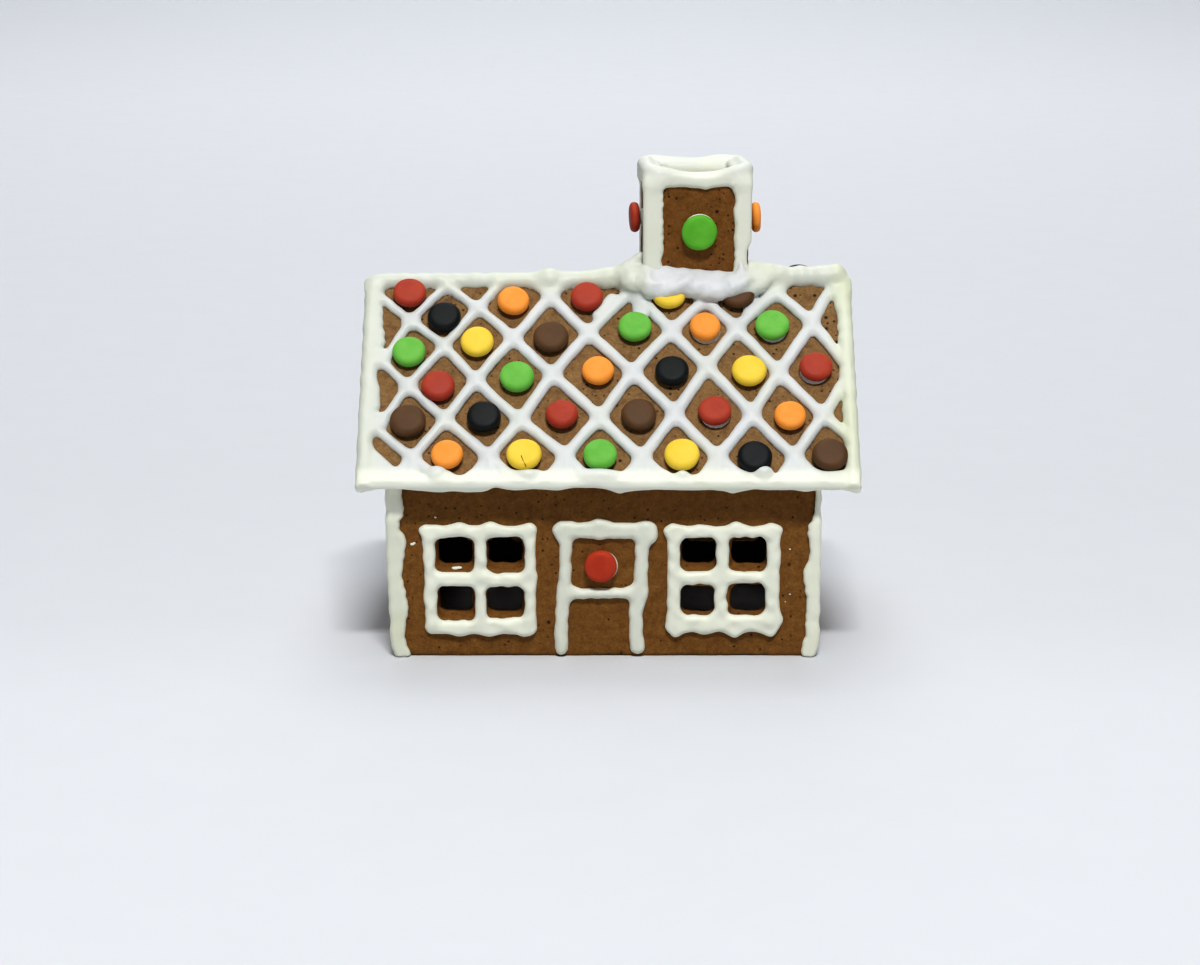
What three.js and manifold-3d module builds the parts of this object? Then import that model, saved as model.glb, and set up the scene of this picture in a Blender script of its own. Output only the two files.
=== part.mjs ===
// A gingerbread house: baked dough panels, piped icing and round sugar-shelled candies.
// Millimetres, +Z up. The front faces -Y, the ridge runs along X, and the origin lies on the
// surface that the house stands on, under the middle of the roof.

import * as THREE from 'three';
import { mergeVertices } from 'three/addons/utils/BufferGeometryUtils.js';
import Module from 'manifold-3d';

const wasm = await Module();
wasm.setup();

// ---------------------------------------------------------------- driving dimensions

const GAP = 0.3; // left between two pieces that lie against each other

const ROOF = {
  width: 180, // dough, along the ridge
  run: 89, // dough, down the slope from the apex to the eave
  thick: 6,
  pitch: Math.PI / 4,
  apex: 130.8, // height of the line where the two outer faces meet
};

const HOUSE = {
  width: 156, // outer faces of the two gable ends
  depth: 110.6, // outer faces of the front and back walls
  thick: 6.5,
  shift: -1.7, // the walls stand a little left of the roof's middle
};

const PANE = {
  width: 14.2, // cut-out at the wall's outer face
  height: 13,
  corner: 3,
  pitch: 18.5, // middle to middle of two panes, both ways
  sideTaper: 1.7, // the baked edge closes in by this much through the wall
  sillRise: 3,
  headDrop: 0.6,
};

const WINDOW_MIDDLES = [-47.3, 42.8];
const WINDOW_HEIGHT = 30.2;

// Icing round and between the panes: it covers their sides by overlap, and each strand ends a
// little past the one that it meets.
const BAR = { width: 5.2, height: 2.4, overlap: 0.4, past: 1.6 };

const DOOR = {
  middle: -2.2,
  halfTop: 14.4, // middle of the door to the middle of a post
  halfFoot: 14.2,
  lean: -1, // both feet stand left of their tops
  head: 48.6, // height of the head strand, which is bowed upwards
  bow: 1.8,
  rail: 24.8, // height of the strand across the door
  foot: 1.2,
  post: 5.2,
  crossbar: 4.2,
  height: 2.4,
  candy: [-0.6, 35.4], // from the door's middle, and up
};

const LATTICE = {
  pitch: 28, // crossing to crossing along a row
  left: -75, // first crossing of the top row
  bottom: 78, // lowest row, down the slope from the apex
  fan: [62, 2.2], // height of the lattice at its left end, and its gain per column
  levels: [1.25, 1, 0.78, 0.53, 0.26, 0, -0.26], // rows as shares of that height
  drift: 3.2, // the lowest row has slid this far to the right
  sway: 1.35, // hand wander across, over three columns
  dip: 3, // hand wander up the slope, most in the top row
  strands: 8, // each way
  width: 4.4,
  height: 2.1,
};

const CANDY = { radius: 6.6, thick: 4.6, sides: 12 };
const SMALL_CANDY = { radius: 5.8, thick: 4.2, sides: 12 };
const BACK_CANDY = { radius: 6.6, thick: 4.6, sides: 8 };

// Each row of candies lies level with a row of crossings, between two of them. A candy is its
// colour and how far it lies from the middle of its diamond, to the right and down the slope.
const CANDY_ROWS = [
  { level: 0, column: 0, candies: [['red', 0, 5.7]] },
  {
    level: 1, column: 0.5,
    candies: [['black', 0, 3.2], ['orange', 0, -0.4], ['red', -2.3, 0.5], ['yellow', 0.7, 0.6],
      ['brown', 0.8, 1.2]],
  },
  {
    level: 2, column: 0,
    candies: [['green', 0.6, 3.3], ['yellow', 0, 1.6], ['brown', -0.4, 1.8], ['green', 1.1, -1.1],
      ['orange', 1.4, 0], ['green', -1.4, 0]],
  },
  {
    level: 3, column: 0.5,
    candies: [['red', -1.7, 3.8], ['green', 1.5, 1.4], ['orange', 1.6, 0], ['black', 1.1, 1.1],
      ['yellow', 3.8, 1.8], ['red', -1.3, 0.7]],
  },
  {
    level: 4, column: 0,
    candies: [['brown', 0, 1.5], ['black', 1, 0.5], ['red', 1.7, 0], ['brown', 1, 0.8], ['red', 2.1, -0.4],
      ['orange', 1.7, 2.2]],
  },
  {
    level: 5, column: 0.5,
    candies: [['orange', -1.1, 0], ['yellow', -1, 0], ['green', -1.2, 0], ['yellow', 0.7, 0],
      ['black', -0.7, 1], ['brown', -1.2, 0]],
  },
];

// Icing along the roof's edges, as far as it reaches from the dough's edge, and how it waves.
const BORDER = {
  inward: 4.6, outward: 2.2, above: 2.6, below: 4.6, inWave: 0.8, hangWave: 1.1, eaveSteps: 16, rakeSteps: 6,
};

const RIDGE_ICING = {
  foot: 4.4, // down the front slope
  backFoot: 7.4, // down the back slope
  shoulder: 2.6,
  crest: [-2, 3.2], // where its flat top begins and ends, from the front to the back
  top: 3, // above the apex at the left end
  topRight: 6.6, // and at the right end
  bump: { middle: -22, height: 3.2, width: 5 },
  wave: 0.3,
};

// One more candy lies at the back of the ridge icing and shows over it.
const RIDGE_CANDY = { x: 71.5, down: 2.6, lift: 4.4 };

// The snow-like heap before the chimney's foot.
const SNOW = { left: 3, right: 62, ease: 5, foot: 10.2, shoulder: 3.4, top: 5.8 };

const CHIMNEY = {
  width: 39,
  depth: 28,
  thick: 5,
  middle: 33.1,
  front: -1, // y of its front face, just before the ridge
  bottom: 60, // its panels are cut off by the roof on the way down to here
  top: 172.5,
  turn: THREE.MathUtils.degToRad(3.5),
  candyHeight: 151.6,
  sideCandyHeight: 155,
};

// Icing round its foot on the back slope: its middle lies off the panels, and it reaches this far
// aside and down the slope.
const COLLAR = { width: 7, height: 3.4, off: 1.1, aside: 25, down: 44 };
const BACK_CLEAR = { aside: 34, down: 51 }; // no back candy lies nearer to the chimney than this

const RIM = { bottom: 167.7, top: 176.4, outward: 1.9, inward: 4.7, round: 1.4, sag: 2.8 };
const POST = { onFace: 6.4, onSide: 6.4, proud: 1.6, round: 1.1 }; // icing up a chimney corner
// Icing up a corner of the house.
const CORNER = { onFace: 4.2, onSide: 8.4, proud: 1.7, round: 1.1, foot: 0.6, wave: 0.5 };
const SEAM = { width: 5.2, height: 2.2, overlap: 0.8, short: 2.5 }; // icing along the top of a gable

const COLOURS = {
  dough: 0x8a6236, icing: 0xe4e8dc, red: 0xb74a35, orange: 0xfea54e, yellow: 0xfbe14b,
  green: 0x7acc54, black: 0x212527, brown: 0x604529,
};

// ---------------------------------------------------------------- worked out from them

const RISE = Math.sin(ROOF.pitch);
const RUN = Math.cos(ROOF.pitch);
const UNDERSIDE = ROOF.apex - ROOF.thick / RUN; // where the two inner faces meet
const WALL_TOP = UNDERSIDE - (HOUSE.depth / 2) * (RISE / RUN) - GAP / RUN;
const FRONT_Y = -HOUSE.depth / 2;
const LEFT_X = HOUSE.shift - HOUSE.width / 2;
const RIGHT_X = HOUSE.shift + HOUSE.width / 2;

// ---------------------------------------------------------------- solids

// A closed geometry as a solid that can be joined and cut.
function solidOf(geometry) {
  const bare = geometry.index ? geometry.toNonIndexed() : geometry.clone();
  bare.deleteAttribute('normal');
  bare.deleteAttribute('uv');
  const merged = mergeVertices(bare, 1e-4);
  return new wasm.Manifold(new wasm.Mesh({
    numProp: 3,
    vertProperties: merged.attributes.position.array,
    triVerts: new Uint32Array(merged.index.array),
  }));
}

function geometryOf(solid) {
  const mesh = solid.getMesh();
  const geometry = new THREE.BufferGeometry();
  geometry.setAttribute('position', new THREE.BufferAttribute(new Float32Array(mesh.vertProperties), 3));
  geometry.setIndex(new THREE.BufferAttribute(new Uint32Array(mesh.triVerts), 1));
  geometry.computeVertexNormals();
  return geometry;
}

function joined(solids) {
  return solids.reduce((whole, solid) => whole.add(solid));
}

function cutBy(solid, cutters) {
  return cutters.reduce((rest, cutter) => rest.subtract(cutter), solid);
}

// Closed solid through a row of rings of as many points each. outline is one ring laid flat, for
// the two end caps; a row that closes on itself has none. Which way round they run is free.
function loft(rings, outline) {
  const flat = (outline || []).map(([p, q]) => new THREE.Vector2(p, q));
  if (outline && THREE.ShapeUtils.isClockWise(flat)) {
    return loft(rings.map((ring) => [...ring].reverse()), [...outline].reverse());
  }
  const size = rings[0].length;
  const places = rings.flat();
  const faces = [];
  const spans = outline ? rings.length - 1 : rings.length;
  for (let i = 0; i < spans; i++) {
    const here = i * size;
    const next = ((i + 1) % rings.length) * size;
    for (let j = 0; j < size; j++) {
      const k = (j + 1) % size;
      faces.push([here + j, here + k, next + k], [here + j, next + k, next + j]);
    }
  }
  const last = (rings.length - 1) * size;
  for (const [a, b, c] of THREE.ShapeUtils.triangulateShape(flat, [])) {
    faces.push([a, c, b], [last + a, last + b, last + c]);
  }
  const volume = faces.reduce((sum, [a, b, c]) => {
    return sum + places[a].dot(new THREE.Vector3().crossVectors(places[b], places[c]));
  }, 0);
  if (volume < 0) for (const face of faces) face.reverse();
  const geometry = new THREE.BufferGeometry().setFromPoints(places);
  geometry.setIndex(faces.flat());
  return solidOf(geometry);
}

// A flat shape in the plane of two axes, pushed out along the third.
function plate(outline, thick, basis, corner) {
  const shape = new THREE.Shape(outline.map(([p, q]) => new THREE.Vector2(p, q)));
  const geometry = new THREE.ExtrudeGeometry(shape, { depth: thick, bevelEnabled: false });
  geometry.applyMatrix4(new THREE.Matrix4().makeBasis(...basis).setPosition(corner));
  return solidOf(geometry);
}

// A box between two corners, turned and moved by a matrix where one is given.
function block(low, high, matrix = new THREE.Matrix4()) {
  const box = new THREE.Box3(new THREE.Vector3(...low), new THREE.Vector3(...high));
  const geometry = new THREE.BoxGeometry(...box.getSize(new THREE.Vector3()).toArray());
  geometry.translate(...box.getCenter(new THREE.Vector3()).toArray());
  return solidOf(geometry.applyMatrix4(matrix));
}

const X = new THREE.Vector3(1, 0, 0);
const Y = new THREE.Vector3(0, 1, 0);
const Z = new THREE.Vector3(0, 0, 1);

// Slow uneven wander of a hand-piped edge, between -1 and 1.
function wander(t, seed) {
  return 0.6 * Math.sin(t * 1.0 + seed) + 0.4 * Math.sin(t * 2.3 + seed * 2.7);
}

// ---------------------------------------------------------------- faces that things lie on

// A face has an origin, two directions in it and the one that points out of it.
function face(origin, across, along, out) {
  return {
    across, along, out,
    at(a, b, h) {
      return origin.clone().addScaledVector(across, a).addScaledVector(along, b).addScaledVector(out, h);
    },
  };
}

const APEX = new THREE.Vector3(0, 0, ROOF.apex);
const FRONT_SLOPE = face(APEX, X, new THREE.Vector3(0, -RUN, -RISE), new THREE.Vector3(0, -RISE, RUN));
const BACK_SLOPE = face(APEX, X.clone().negate(), new THREE.Vector3(0, RUN, -RISE),
  new THREE.Vector3(0, RISE, RUN));
const FRONT_WALL = face(new THREE.Vector3(0, FRONT_Y, 0), X, Z, Y.clone().negate());
const BACK_WALL = face(new THREE.Vector3(0, -FRONT_Y, 0), X.clone().negate(), Z, Y);
const LEFT_GABLE = face(new THREE.Vector3(LEFT_X, 0, 0), Y.clone().negate(), Z, X.clone().negate());
const RIGHT_GABLE = face(new THREE.Vector3(RIGHT_X, 0, 0), Y, Z, X);

// A solid that was made on the flat, moved onto a face.
const FLAT = face(new THREE.Vector3(), X, Y, Z);

function laidOn(solid, on) {
  const geometry = geometryOf(solid);
  const basis = new THREE.Matrix4().makeBasis(on.across, on.along, on.out).setPosition(on.at(0, 0, 0));
  geometry.applyMatrix4(basis);
  if (basis.determinant() < 0) geometry.setIndex([...geometry.index.array].reverse());
  return solidOf(geometry);
}

// Half of a strand's section: sideways in half widths, upwards in heights.
const DOME = [[-1, 0], [-0.55, 1], [0.55, 1], [1, 0]];

// A domed strand of icing along a line on a face. width takes the share of the line done so far.
function strand(on, line, width, height, lift = GAP) {
  const spots = line.map(([a, b]) => new THREE.Vector2(a, b));
  const rings = spots.map((spot, i) => {
    const before = spots[Math.max(i - 1, 0)];
    const after = spots[Math.min(i + 1, spots.length - 1)];
    const ahead = after.clone().sub(before).normalize();
    const aside = new THREE.Vector2(-ahead.y, ahead.x);
    const half = width(i / (spots.length - 1)) / 2;
    return DOME.map(([p, q]) => {
      const c = spot.clone().addScaledVector(aside, p * half);
      return on.at(c.x, c.y, lift + q * height);
    });
  });
  return loft(rings, DOME);
}

function straight(from, to, steps) {
  const line = [];
  for (let i = 0; i <= steps; i++) {
    const t = i / steps;
    line.push([from[0] + (to[0] - from[0]) * t, from[1] + (to[1] - from[1]) * t]);
  }
  return line;
}

// ---------------------------------------------------------------- candies

// Sets a shape that was turned about +Y upright on a face.
function standOn(geometry, on, a, b, lift) {
  const aside = new THREE.Vector3().crossVectors(on.across, on.out);
  geometry.applyMatrix4(new THREE.Matrix4().makeBasis(on.across, on.out, aside));
  geometry.translate(...on.at(a, b, lift).toArray());
  return solidOf(geometry);
}

// A lentil that lies flat on a face. One that is stuck there has no rounding below.
function candySolid(kind, on, a, b, lift = GAP) {
  const { radius: r, thick: t } = kind;
  const below = lift > 0 ? [[0, 0], [0.7 * r, 0.1 * t]] : [[0, 0]];
  const profile = [...below, [r, 0.5 * t], [0.7 * r, 0.9 * t], [0, t]];
  const points = profile.map(([x, y]) => new THREE.Vector2(x, y));
  return standOn(new THREE.LatheGeometry(points, kind.sides), on, a, b, lift);
}

// The room that a candy takes in the icing round it, open upwards.
function candyCutter(kind, on, a, b, from = -GAP) {
  const r = kind.radius + GAP;
  const tall = 16;
  return standOn(new THREE.CylinderGeometry(r, r, tall, kind.sides), on, a, b, from + tall / 2);
}

// Where the strands cross: how far across, and how far down the slope.
function crossing(level, column) {
  const up = LATTICE.levels[level];
  const sway = LATTICE.sway * (1 - Math.cos((2 * Math.PI * column) / 3)) * Math.min(1, Math.max(0, 2 * up));
  const across = LATTICE.left + LATTICE.pitch * column + LATTICE.drift * (1 - up) ** 3 - sway;
  const dip = LATTICE.dip * Math.sin((Math.PI * column) / 5) * up * up;
  const down = LATTICE.bottom - up * (LATTICE.fan[0] + LATTICE.fan[1] * column) - dip;
  return [across, down];
}

const ROOF_CANDIES = CANDY_ROWS.flatMap(({ level, column, candies }) => {
  return candies.map(([colour, right, down], i) => {
    const [a, b] = crossing(level, column + i);
    return { name: `candy_roof_${level}${i + 1}_${colour}`, colour, a: a + right, b: b + down };
  });
});

// ---------------------------------------------------------------- dough

function roofPanel(slope) {
  const [down, out] = [slope.along, slope.out];
  const outward = Math.sign(down.y);
  const apex = [outward * GAP / 2, ROOF.apex - (GAP / 2) * (RISE / RUN)];
  const eave = slope.at(0, ROOF.run, 0);
  const lip = slope.at(0, ROOF.run, -ROOF.thick);
  const heel = [outward * GAP / 2, UNDERSIDE - (GAP / 2) * (RISE / RUN)];
  const outline = [apex, [eave.y, eave.z], [lip.y, lip.z], heel];
  return plate(outline, ROOF.width, [Y, Z, X], new THREE.Vector3(-ROOF.width / 2, 0, 0));
}

// Everything of the roof that other pieces keep clear of, swollen by the gap.
function roofKeepOut() {
  const half = ROOF.width / 2 + GAP;
  const tip = FRONT_SLOPE.at(0, ROOF.run + GAP, GAP);
  const lip = FRONT_SLOPE.at(0, ROOF.run + GAP, -ROOF.thick - GAP);
  const top = ROOF.apex + GAP / RUN;
  const under = UNDERSIDE - GAP / RUN;
  const outline = [[0, top], [tip.y, tip.z], [lip.y, lip.z], [0, under], [-lip.y, lip.z], [-tip.y, tip.z]];
  return plate(outline, 2 * half, [Y, Z, X], new THREE.Vector3(-half, 0, 0));
}

// Four corner arcs of three points each, round a middle.
function roundedBox(width, height, corner, middle) {
  const points = [];
  for (let quarter = 0; quarter < 4; quarter++) {
    for (const share of [0, 0.5, 1]) {
      const angle = (quarter + share) * (Math.PI / 2);
      const sideways = Math.sign(Math.cos((quarter + 0.5) * (Math.PI / 2)));
      const upwards = Math.sign(Math.sin((quarter + 0.5) * (Math.PI / 2)));
      points.push([
        middle[0] + sideways * (width / 2 - corner) + corner * Math.cos(angle),
        middle[1] + upwards * (height / 2 - corner) + corner * Math.sin(angle),
      ]);
    }
  }
  return points;
}

function paneMiddles() {
  return WINDOW_MIDDLES.flatMap((middle) => [-1, 1].flatMap((side) => [-1, 1].map((row) => {
    return [middle + (side * PANE.pitch) / 2, WINDOW_HEIGHT + (row * PANE.pitch) / 2];
  })));
}

// A wall of one face with its panes cut out, each closing in towards the room.
function wall(on) {
  const near = Math.min(on.at(0, 0, 0).y, on.at(0, 0, -HOUSE.thick).y);
  const board = block([LEFT_X, near, 0], [RIGHT_X, near + HOUSE.thick, WALL_TOP]);
  const past = 1;
  const panes = paneMiddles().map(([a, b]) => {
    const rings = [past, -HOUSE.thick - past].map((h) => {
      const share = -h / HOUSE.thick;
      const width = PANE.width - 2 * PANE.sideTaper * share;
      const height = PANE.height - (PANE.sillRise + PANE.headDrop) * share;
      const lift = ((PANE.sillRise - PANE.headDrop) / 2) * share;
      return roundedBox(width, height, PANE.corner, [a, b + lift]).map(([p, q]) => on.at(p, q, h));
    });
    return loft(rings, roundedBox(PANE.width, PANE.height, PANE.corner, [0, 0]));
  });
  return cutBy(board, panes);
}

function gable(on) {
  const half = HOUSE.depth / 2 - HOUSE.thick - GAP;
  const tip = UNDERSIDE - GAP / RUN;
  const shoulder = tip - half * (RISE / RUN);
  const outline = [[-half, 0], [half, 0], [half, shoulder], [0, tip], [-half, shoulder]];
  const inner = on.out.x < 0 ? on.at(0, 0, 0).x : on.at(0, 0, -HOUSE.thick).x;
  return plate(outline, HOUSE.thick, [Y, Z, X], new THREE.Vector3(inner, 0, 0));
}

// ---------------------------------------------------------------- chimney

// The chimney's own axes: across its front, through its depth, and up.
const CHIMNEY_MATRIX = new THREE.Matrix4()
  .makeRotationZ(CHIMNEY.turn)
  .setPosition(CHIMNEY.middle, CHIMNEY.front + CHIMNEY.depth / 2, 0);

function chimneyPlace(a, b, z) {
  return new THREE.Vector3(a, b, z).applyMatrix4(CHIMNEY_MATRIX);
}

// One of its faces, as many quarter turns round from the front.
function chimneyFace(turn) {
  const half = turn % 2 === 0 ? CHIMNEY.depth / 2 : CHIMNEY.width / 2;
  const spin = new THREE.Matrix4().makeRotationZ(CHIMNEY.turn + (turn * Math.PI) / 2);
  const out = new THREE.Vector3(0, -1, 0).applyMatrix4(spin);
  const across = X.clone().applyMatrix4(spin);
  return face(chimneyPlace(0, 0, 0).addScaledVector(out, half), across, Z, out);
}

const CHIMNEY_FACES = Object.fromEntries(['front', 'right', 'back', 'left'].map((side, turn) => {
  return [side, chimneyFace(turn)];
}));

// The four panels, each cut off by the roof that it stands on.
function chimneyPanels(keepOut) {
  const [w, d, t] = [CHIMNEY.width / 2, CHIMNEY.depth / 2, CHIMNEY.thick];
  const made = {
    front: [[-w, -d], [w, -d + t]],
    back: [[-w, d - t], [w, d]],
    left: [[-w, -d + t + GAP], [-w + t, d - t - GAP]],
    right: [[w - t, -d + t + GAP], [w, d - t - GAP]],
  };
  return Object.entries(made).map(([side, [low, high]]) => {
    const panel = block([...low, CHIMNEY.bottom], [...high, CHIMNEY.top], CHIMNEY_MATRIX);
    const pieces = panel.subtract(keepOut).decompose();
    const highest = pieces.sort((p, q) => q.boundingBox().max[2] - p.boundingBox().max[2])[0];
    return [side, highest];
  });
}

// The room that the chimney takes in the icing round it.
function chimneyKeepOut() {
  const [w, d] = [CHIMNEY.width / 2 + GAP, CHIMNEY.depth / 2 + GAP];
  return block([-w, -d, CHIMNEY.bottom], [w, d, CHIMNEY.top + GAP], CHIMNEY_MATRIX);
}

// ---------------------------------------------------------------- icing on the roof

// Section over an edge of dough: on top of it, round its edge and down its side. reach lengthens
// it inwards and hang downwards. The edge is at (0, 0), and the first number grows outwards.
function overEdge(reach, hang) {
  const { inward, outward, above, below } = BORDER;
  return [
    [-inward - reach, GAP],
    [-0.7 * inward - reach, 0.75 * above],
    [-0.15 * inward, above],
    [0.75 * outward, 0.45 * above],
    [outward, -0.35 * below],
    [0.75 * outward, -0.8 * below - hang],
    [GAP, -below - hang],
    [GAP, GAP],
  ];
}

// The wavy section at one place along an edge.
function borderSection(place, seed) {
  return overEdge(BORDER.inWave * wander(place / 6, seed), BORDER.hangWave * wander(place / 9, seed + 3));
}

// Icing along the eave and both rakes of a slope, laid out flat.
function borderIcing() {
  const half = ROOF.width / 2;
  const past = 0.7 * BORDER.outward;
  const eave = straight([-half - past, ROOF.run], [half + past, ROOF.run], BORDER.eaveSteps)
    .map(([a, b]) => borderSection(a, 1).map(([p, q]) => FLAT.at(a, b + p, q)));
  const rakes = [-1, 1].map((side) => {
    return straight([side * half, 2], [side * half, ROOF.run + 1], BORDER.rakeSteps)
      .map(([a, b]) => borderSection(b, side).map(([p, q]) => FLAT.at(a + side * p, b, q)));
  });
  return joined([eave, ...rakes].map((rings) => loft(rings, overEdge(0, 0))));
}

// The strands that run down to the right, or down to the left, which are piped over them.
function latticeStrands(lean) {
  const made = [];
  for (let j = 0; j < LATTICE.strands; j++) {
    const start = lean > 0 ? j - 2 : j;
    const line = [0, 2, 4, 6].map((level) => crossing(level, start + (lean * (level - 1)) / 2));
    made.push(strand(FLAT, line, () => LATTICE.width, LATTICE.height - 0.15 * lean));
  }
  return made;
}

function latticeIcing() {
  const half = ROOF.width / 2 - 2;
  const field = block([-half, 1, 0], [half, ROOF.run - 2, 3 * LATTICE.height]);
  return joined([...latticeStrands(1), ...latticeStrands(-1)]).intersect(field);
}

// The lattice and the border of one slope, cut back on the flat from what else lies there.
function slopeIcing(slope, cutters, clearing) {
  const room = plate(clearing, 20, [X, Y, Z], new THREE.Vector3(0, 0, -10));
  return laidOn(cutBy(joined([borderIcing(), latticeIcing()]), [room, ...cutters]), slope);
}

// What the ridge icing takes of a slope, as corners across and down it. It ends at foot, and the
// heap, or the strands round the chimney, reach further down between left and right.
function ridgeClearing(foot, left, right, down, ease) {
  const edge = ROOF.width / 2 + 5;
  const near = foot + RIDGE_ICING.wave + GAP;
  return [[-edge, -9], [edge, -9], [edge, near], [right + ease, near], [right, down], [left, down],
    [left - ease, near], [-edge, near]];
}

// How high the ridge icing stands above the apex.
function ridgeTop(x) {
  const rise = THREE.MathUtils.smoothstep(x, -5, 55);
  const bump = RIDGE_ICING.bump;
  const lump = bump.height * Math.exp(-(((x - bump.middle) / bump.width) ** 2));
  return RIDGE_ICING.top + (RIDGE_ICING.topRight - RIDGE_ICING.top) * rise + lump;
}

// Its section at one place along the ridge, heaped up before the chimney.
function ridgeSection(x) {
  const heap = THREE.MathUtils.smoothstep(x, SNOW.left - SNOW.ease, SNOW.left + SNOW.ease)
    * (1 - THREE.MathUtils.smoothstep(x, SNOW.right - SNOW.ease, SNOW.right + SNOW.ease));
  const { foot, backFoot, shoulder, crest, wave } = RIDGE_ICING;
  const front = foot + (SNOW.foot - foot) * heap + wave * wander(x / 5, 3);
  const back = backFoot + wave * wander(x / 5, 6);
  const side = 0.5 * shoulder; // how far up each slope a shoulder stands from its foot
  const top = ROOF.apex + Math.max(ridgeTop(x), SNOW.top * heap);
  return [
    FRONT_SLOPE.at(x, front, GAP),
    FRONT_SLOPE.at(x, front - side, shoulder + (SNOW.shoulder - shoulder) * heap),
    new THREE.Vector3(x, crest[0], top),
    new THREE.Vector3(x, crest[1], top),
    BACK_SLOPE.at(-x, back - side, shoulder),
    BACK_SLOPE.at(-x, back, GAP),
    new THREE.Vector3(x, 0, ROOF.apex + GAP / RUN),
  ];
}

// Ridge icing with its heap, and the strands round the chimney's other sides.
function ridgeIcing() {
  const half = ROOF.width / 2 + 0.8 * BORDER.outward;
  const rings = straight([-half, 0], [half, 0], 18).map(([x]) => ridgeSection(x));
  const outline = rings[0].map((p) => [p.y, p.z]);
  const reach = CHIMNEY.width / 2 + COLLAR.off;
  const [left, right] = [-CHIMNEY.middle - reach, -CHIMNEY.middle + reach];
  const foot = (CHIMNEY.front + CHIMNEY.depth + COLLAR.off) / RUN;
  const past = 2;
  const collar = [
    [[left, 1], [left, foot + past]],
    [[right, 1], [right, foot + past]],
    [[left - past, foot], [right + past, foot]],
  ].map(([from, to]) => strand(BACK_SLOPE, straight(from, to, 1), () => COLLAR.width, COLLAR.height));
  return joined([loft(rings, outline), ...collar]);
}

// ---------------------------------------------------------------- icing on the walls

// Three upright and three level strands, round a window's panes and between them.
function windowIcing(on, middle) {
  const reach = (PANE.pitch + PANE.width + BAR.width) / 2 - BAR.overlap;
  const rise = (PANE.pitch + PANE.height + BAR.width) / 2;
  const bars = [];
  for (const side of [-1, 0, 1]) {
    const width = (t) => BAR.width * (1 - 0.1 * (side === 0) + 0.14 * wander(t * 9, middle + side));
    const [x, z] = [middle + side * reach, WINDOW_HEIGHT + side * rise];
    const [low, high] = [-1, 1].map((end) => WINDOW_HEIGHT + end * (rise + BAR.past));
    const [left, right] = [-1, 1].map((end) => middle + end * (reach + BAR.past));
    bars.push(strand(on, straight([x, low], [x, high], 3), width, BAR.height));
    bars.push(strand(on, straight([left, z], [right, z], 3), width, BAR.height - 0.3));
  }
  return joined(bars);
}

// Two posts that thin towards their feet, a bowed head strand and a rail.
function doorIcing(on) {
  const width = (t) => DOOR.post * (1 - 0.3 * t * t + 0.08 * wander(t * 9, 2));
  const posts = [-1, 1].map((side) => {
    const top = [DOOR.middle + side * DOOR.halfTop, DOOR.head];
    const foot = [DOOR.middle + side * DOOR.halfFoot + DOOR.lean, DOOR.foot];
    return strand(on, straight(top, foot, 6), width, DOOR.height);
  });
  const reach = DOOR.halfTop + DOOR.post / 2;
  const head = [-1, -0.5, 0, 0.5, 1].map((share) => {
    return [DOOR.middle + share * reach, DOOR.head + DOOR.bow * (0.3 - share * share)];
  });
  const rail = [-1, 1].map((side) => [DOOR.middle + side * DOOR.halfTop, DOOR.rail]);
  return joined([
    ...posts,
    strand(on, head, (t) => DOOR.post * (1.08 + 0.12 * Math.sin(Math.PI * t)), DOOR.height),
    strand(on, rail, () => DOOR.crossbar, DOOR.height),
  ]);
}

// Section round an upright corner of dough, as [along the front face, along the side face]. The
// corner is at (0, 0), and negative numbers lie outside the dough.
function roundCorner({ onFace, onSide, proud, round }, swell = 0) {
  const out = proud * (1 + swell);
  return [
    [onFace + swell, -GAP], [onFace - round, -0.75 * out], [round, -out], [-0.75 * out, -0.75 * out],
    [-out, round], [-0.85 * out, onSide - round], [-GAP, onSide], [-GAP, -GAP],
  ];
}

// Icing up the two corners of a gable end and along the joint of its top with the roof.
function gableIcing(side, on, keepOut) {
  const x = side < 0 ? LEFT_X : RIGHT_X;
  const corners = [-1, 1].map((end) => {
    const rings = straight([0, CORNER.foot], [0, WALL_TOP - 2], 7).map(([, z]) => {
      const section = roundCorner(CORNER, CORNER.wave * wander(z / 7, side + 2 * end));
      return section.map(([p, q]) => new THREE.Vector3(x - side * p, end * (HOUSE.depth / 2 - q), z));
    });
    return loft(rings, roundCorner(CORNER));
  });
  const top = UNDERSIDE - (SEAM.width / 2 + SEAM.overlap) / RUN;
  const out = HOUSE.depth / 2 - SEAM.short;
  const seams = [-1, 1].map((end) => {
    const line = straight([0, top], [end * out, top - out * (RISE / RUN)], 7);
    return strand(on, line, (t) => SEAM.width * (1 + 0.12 * wander(t * 9, end)), SEAM.height);
  });
  return cutBy(joined([...corners, ...seams]), [keepOut]);
}

// ---------------------------------------------------------------- icing on the chimney

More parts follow.
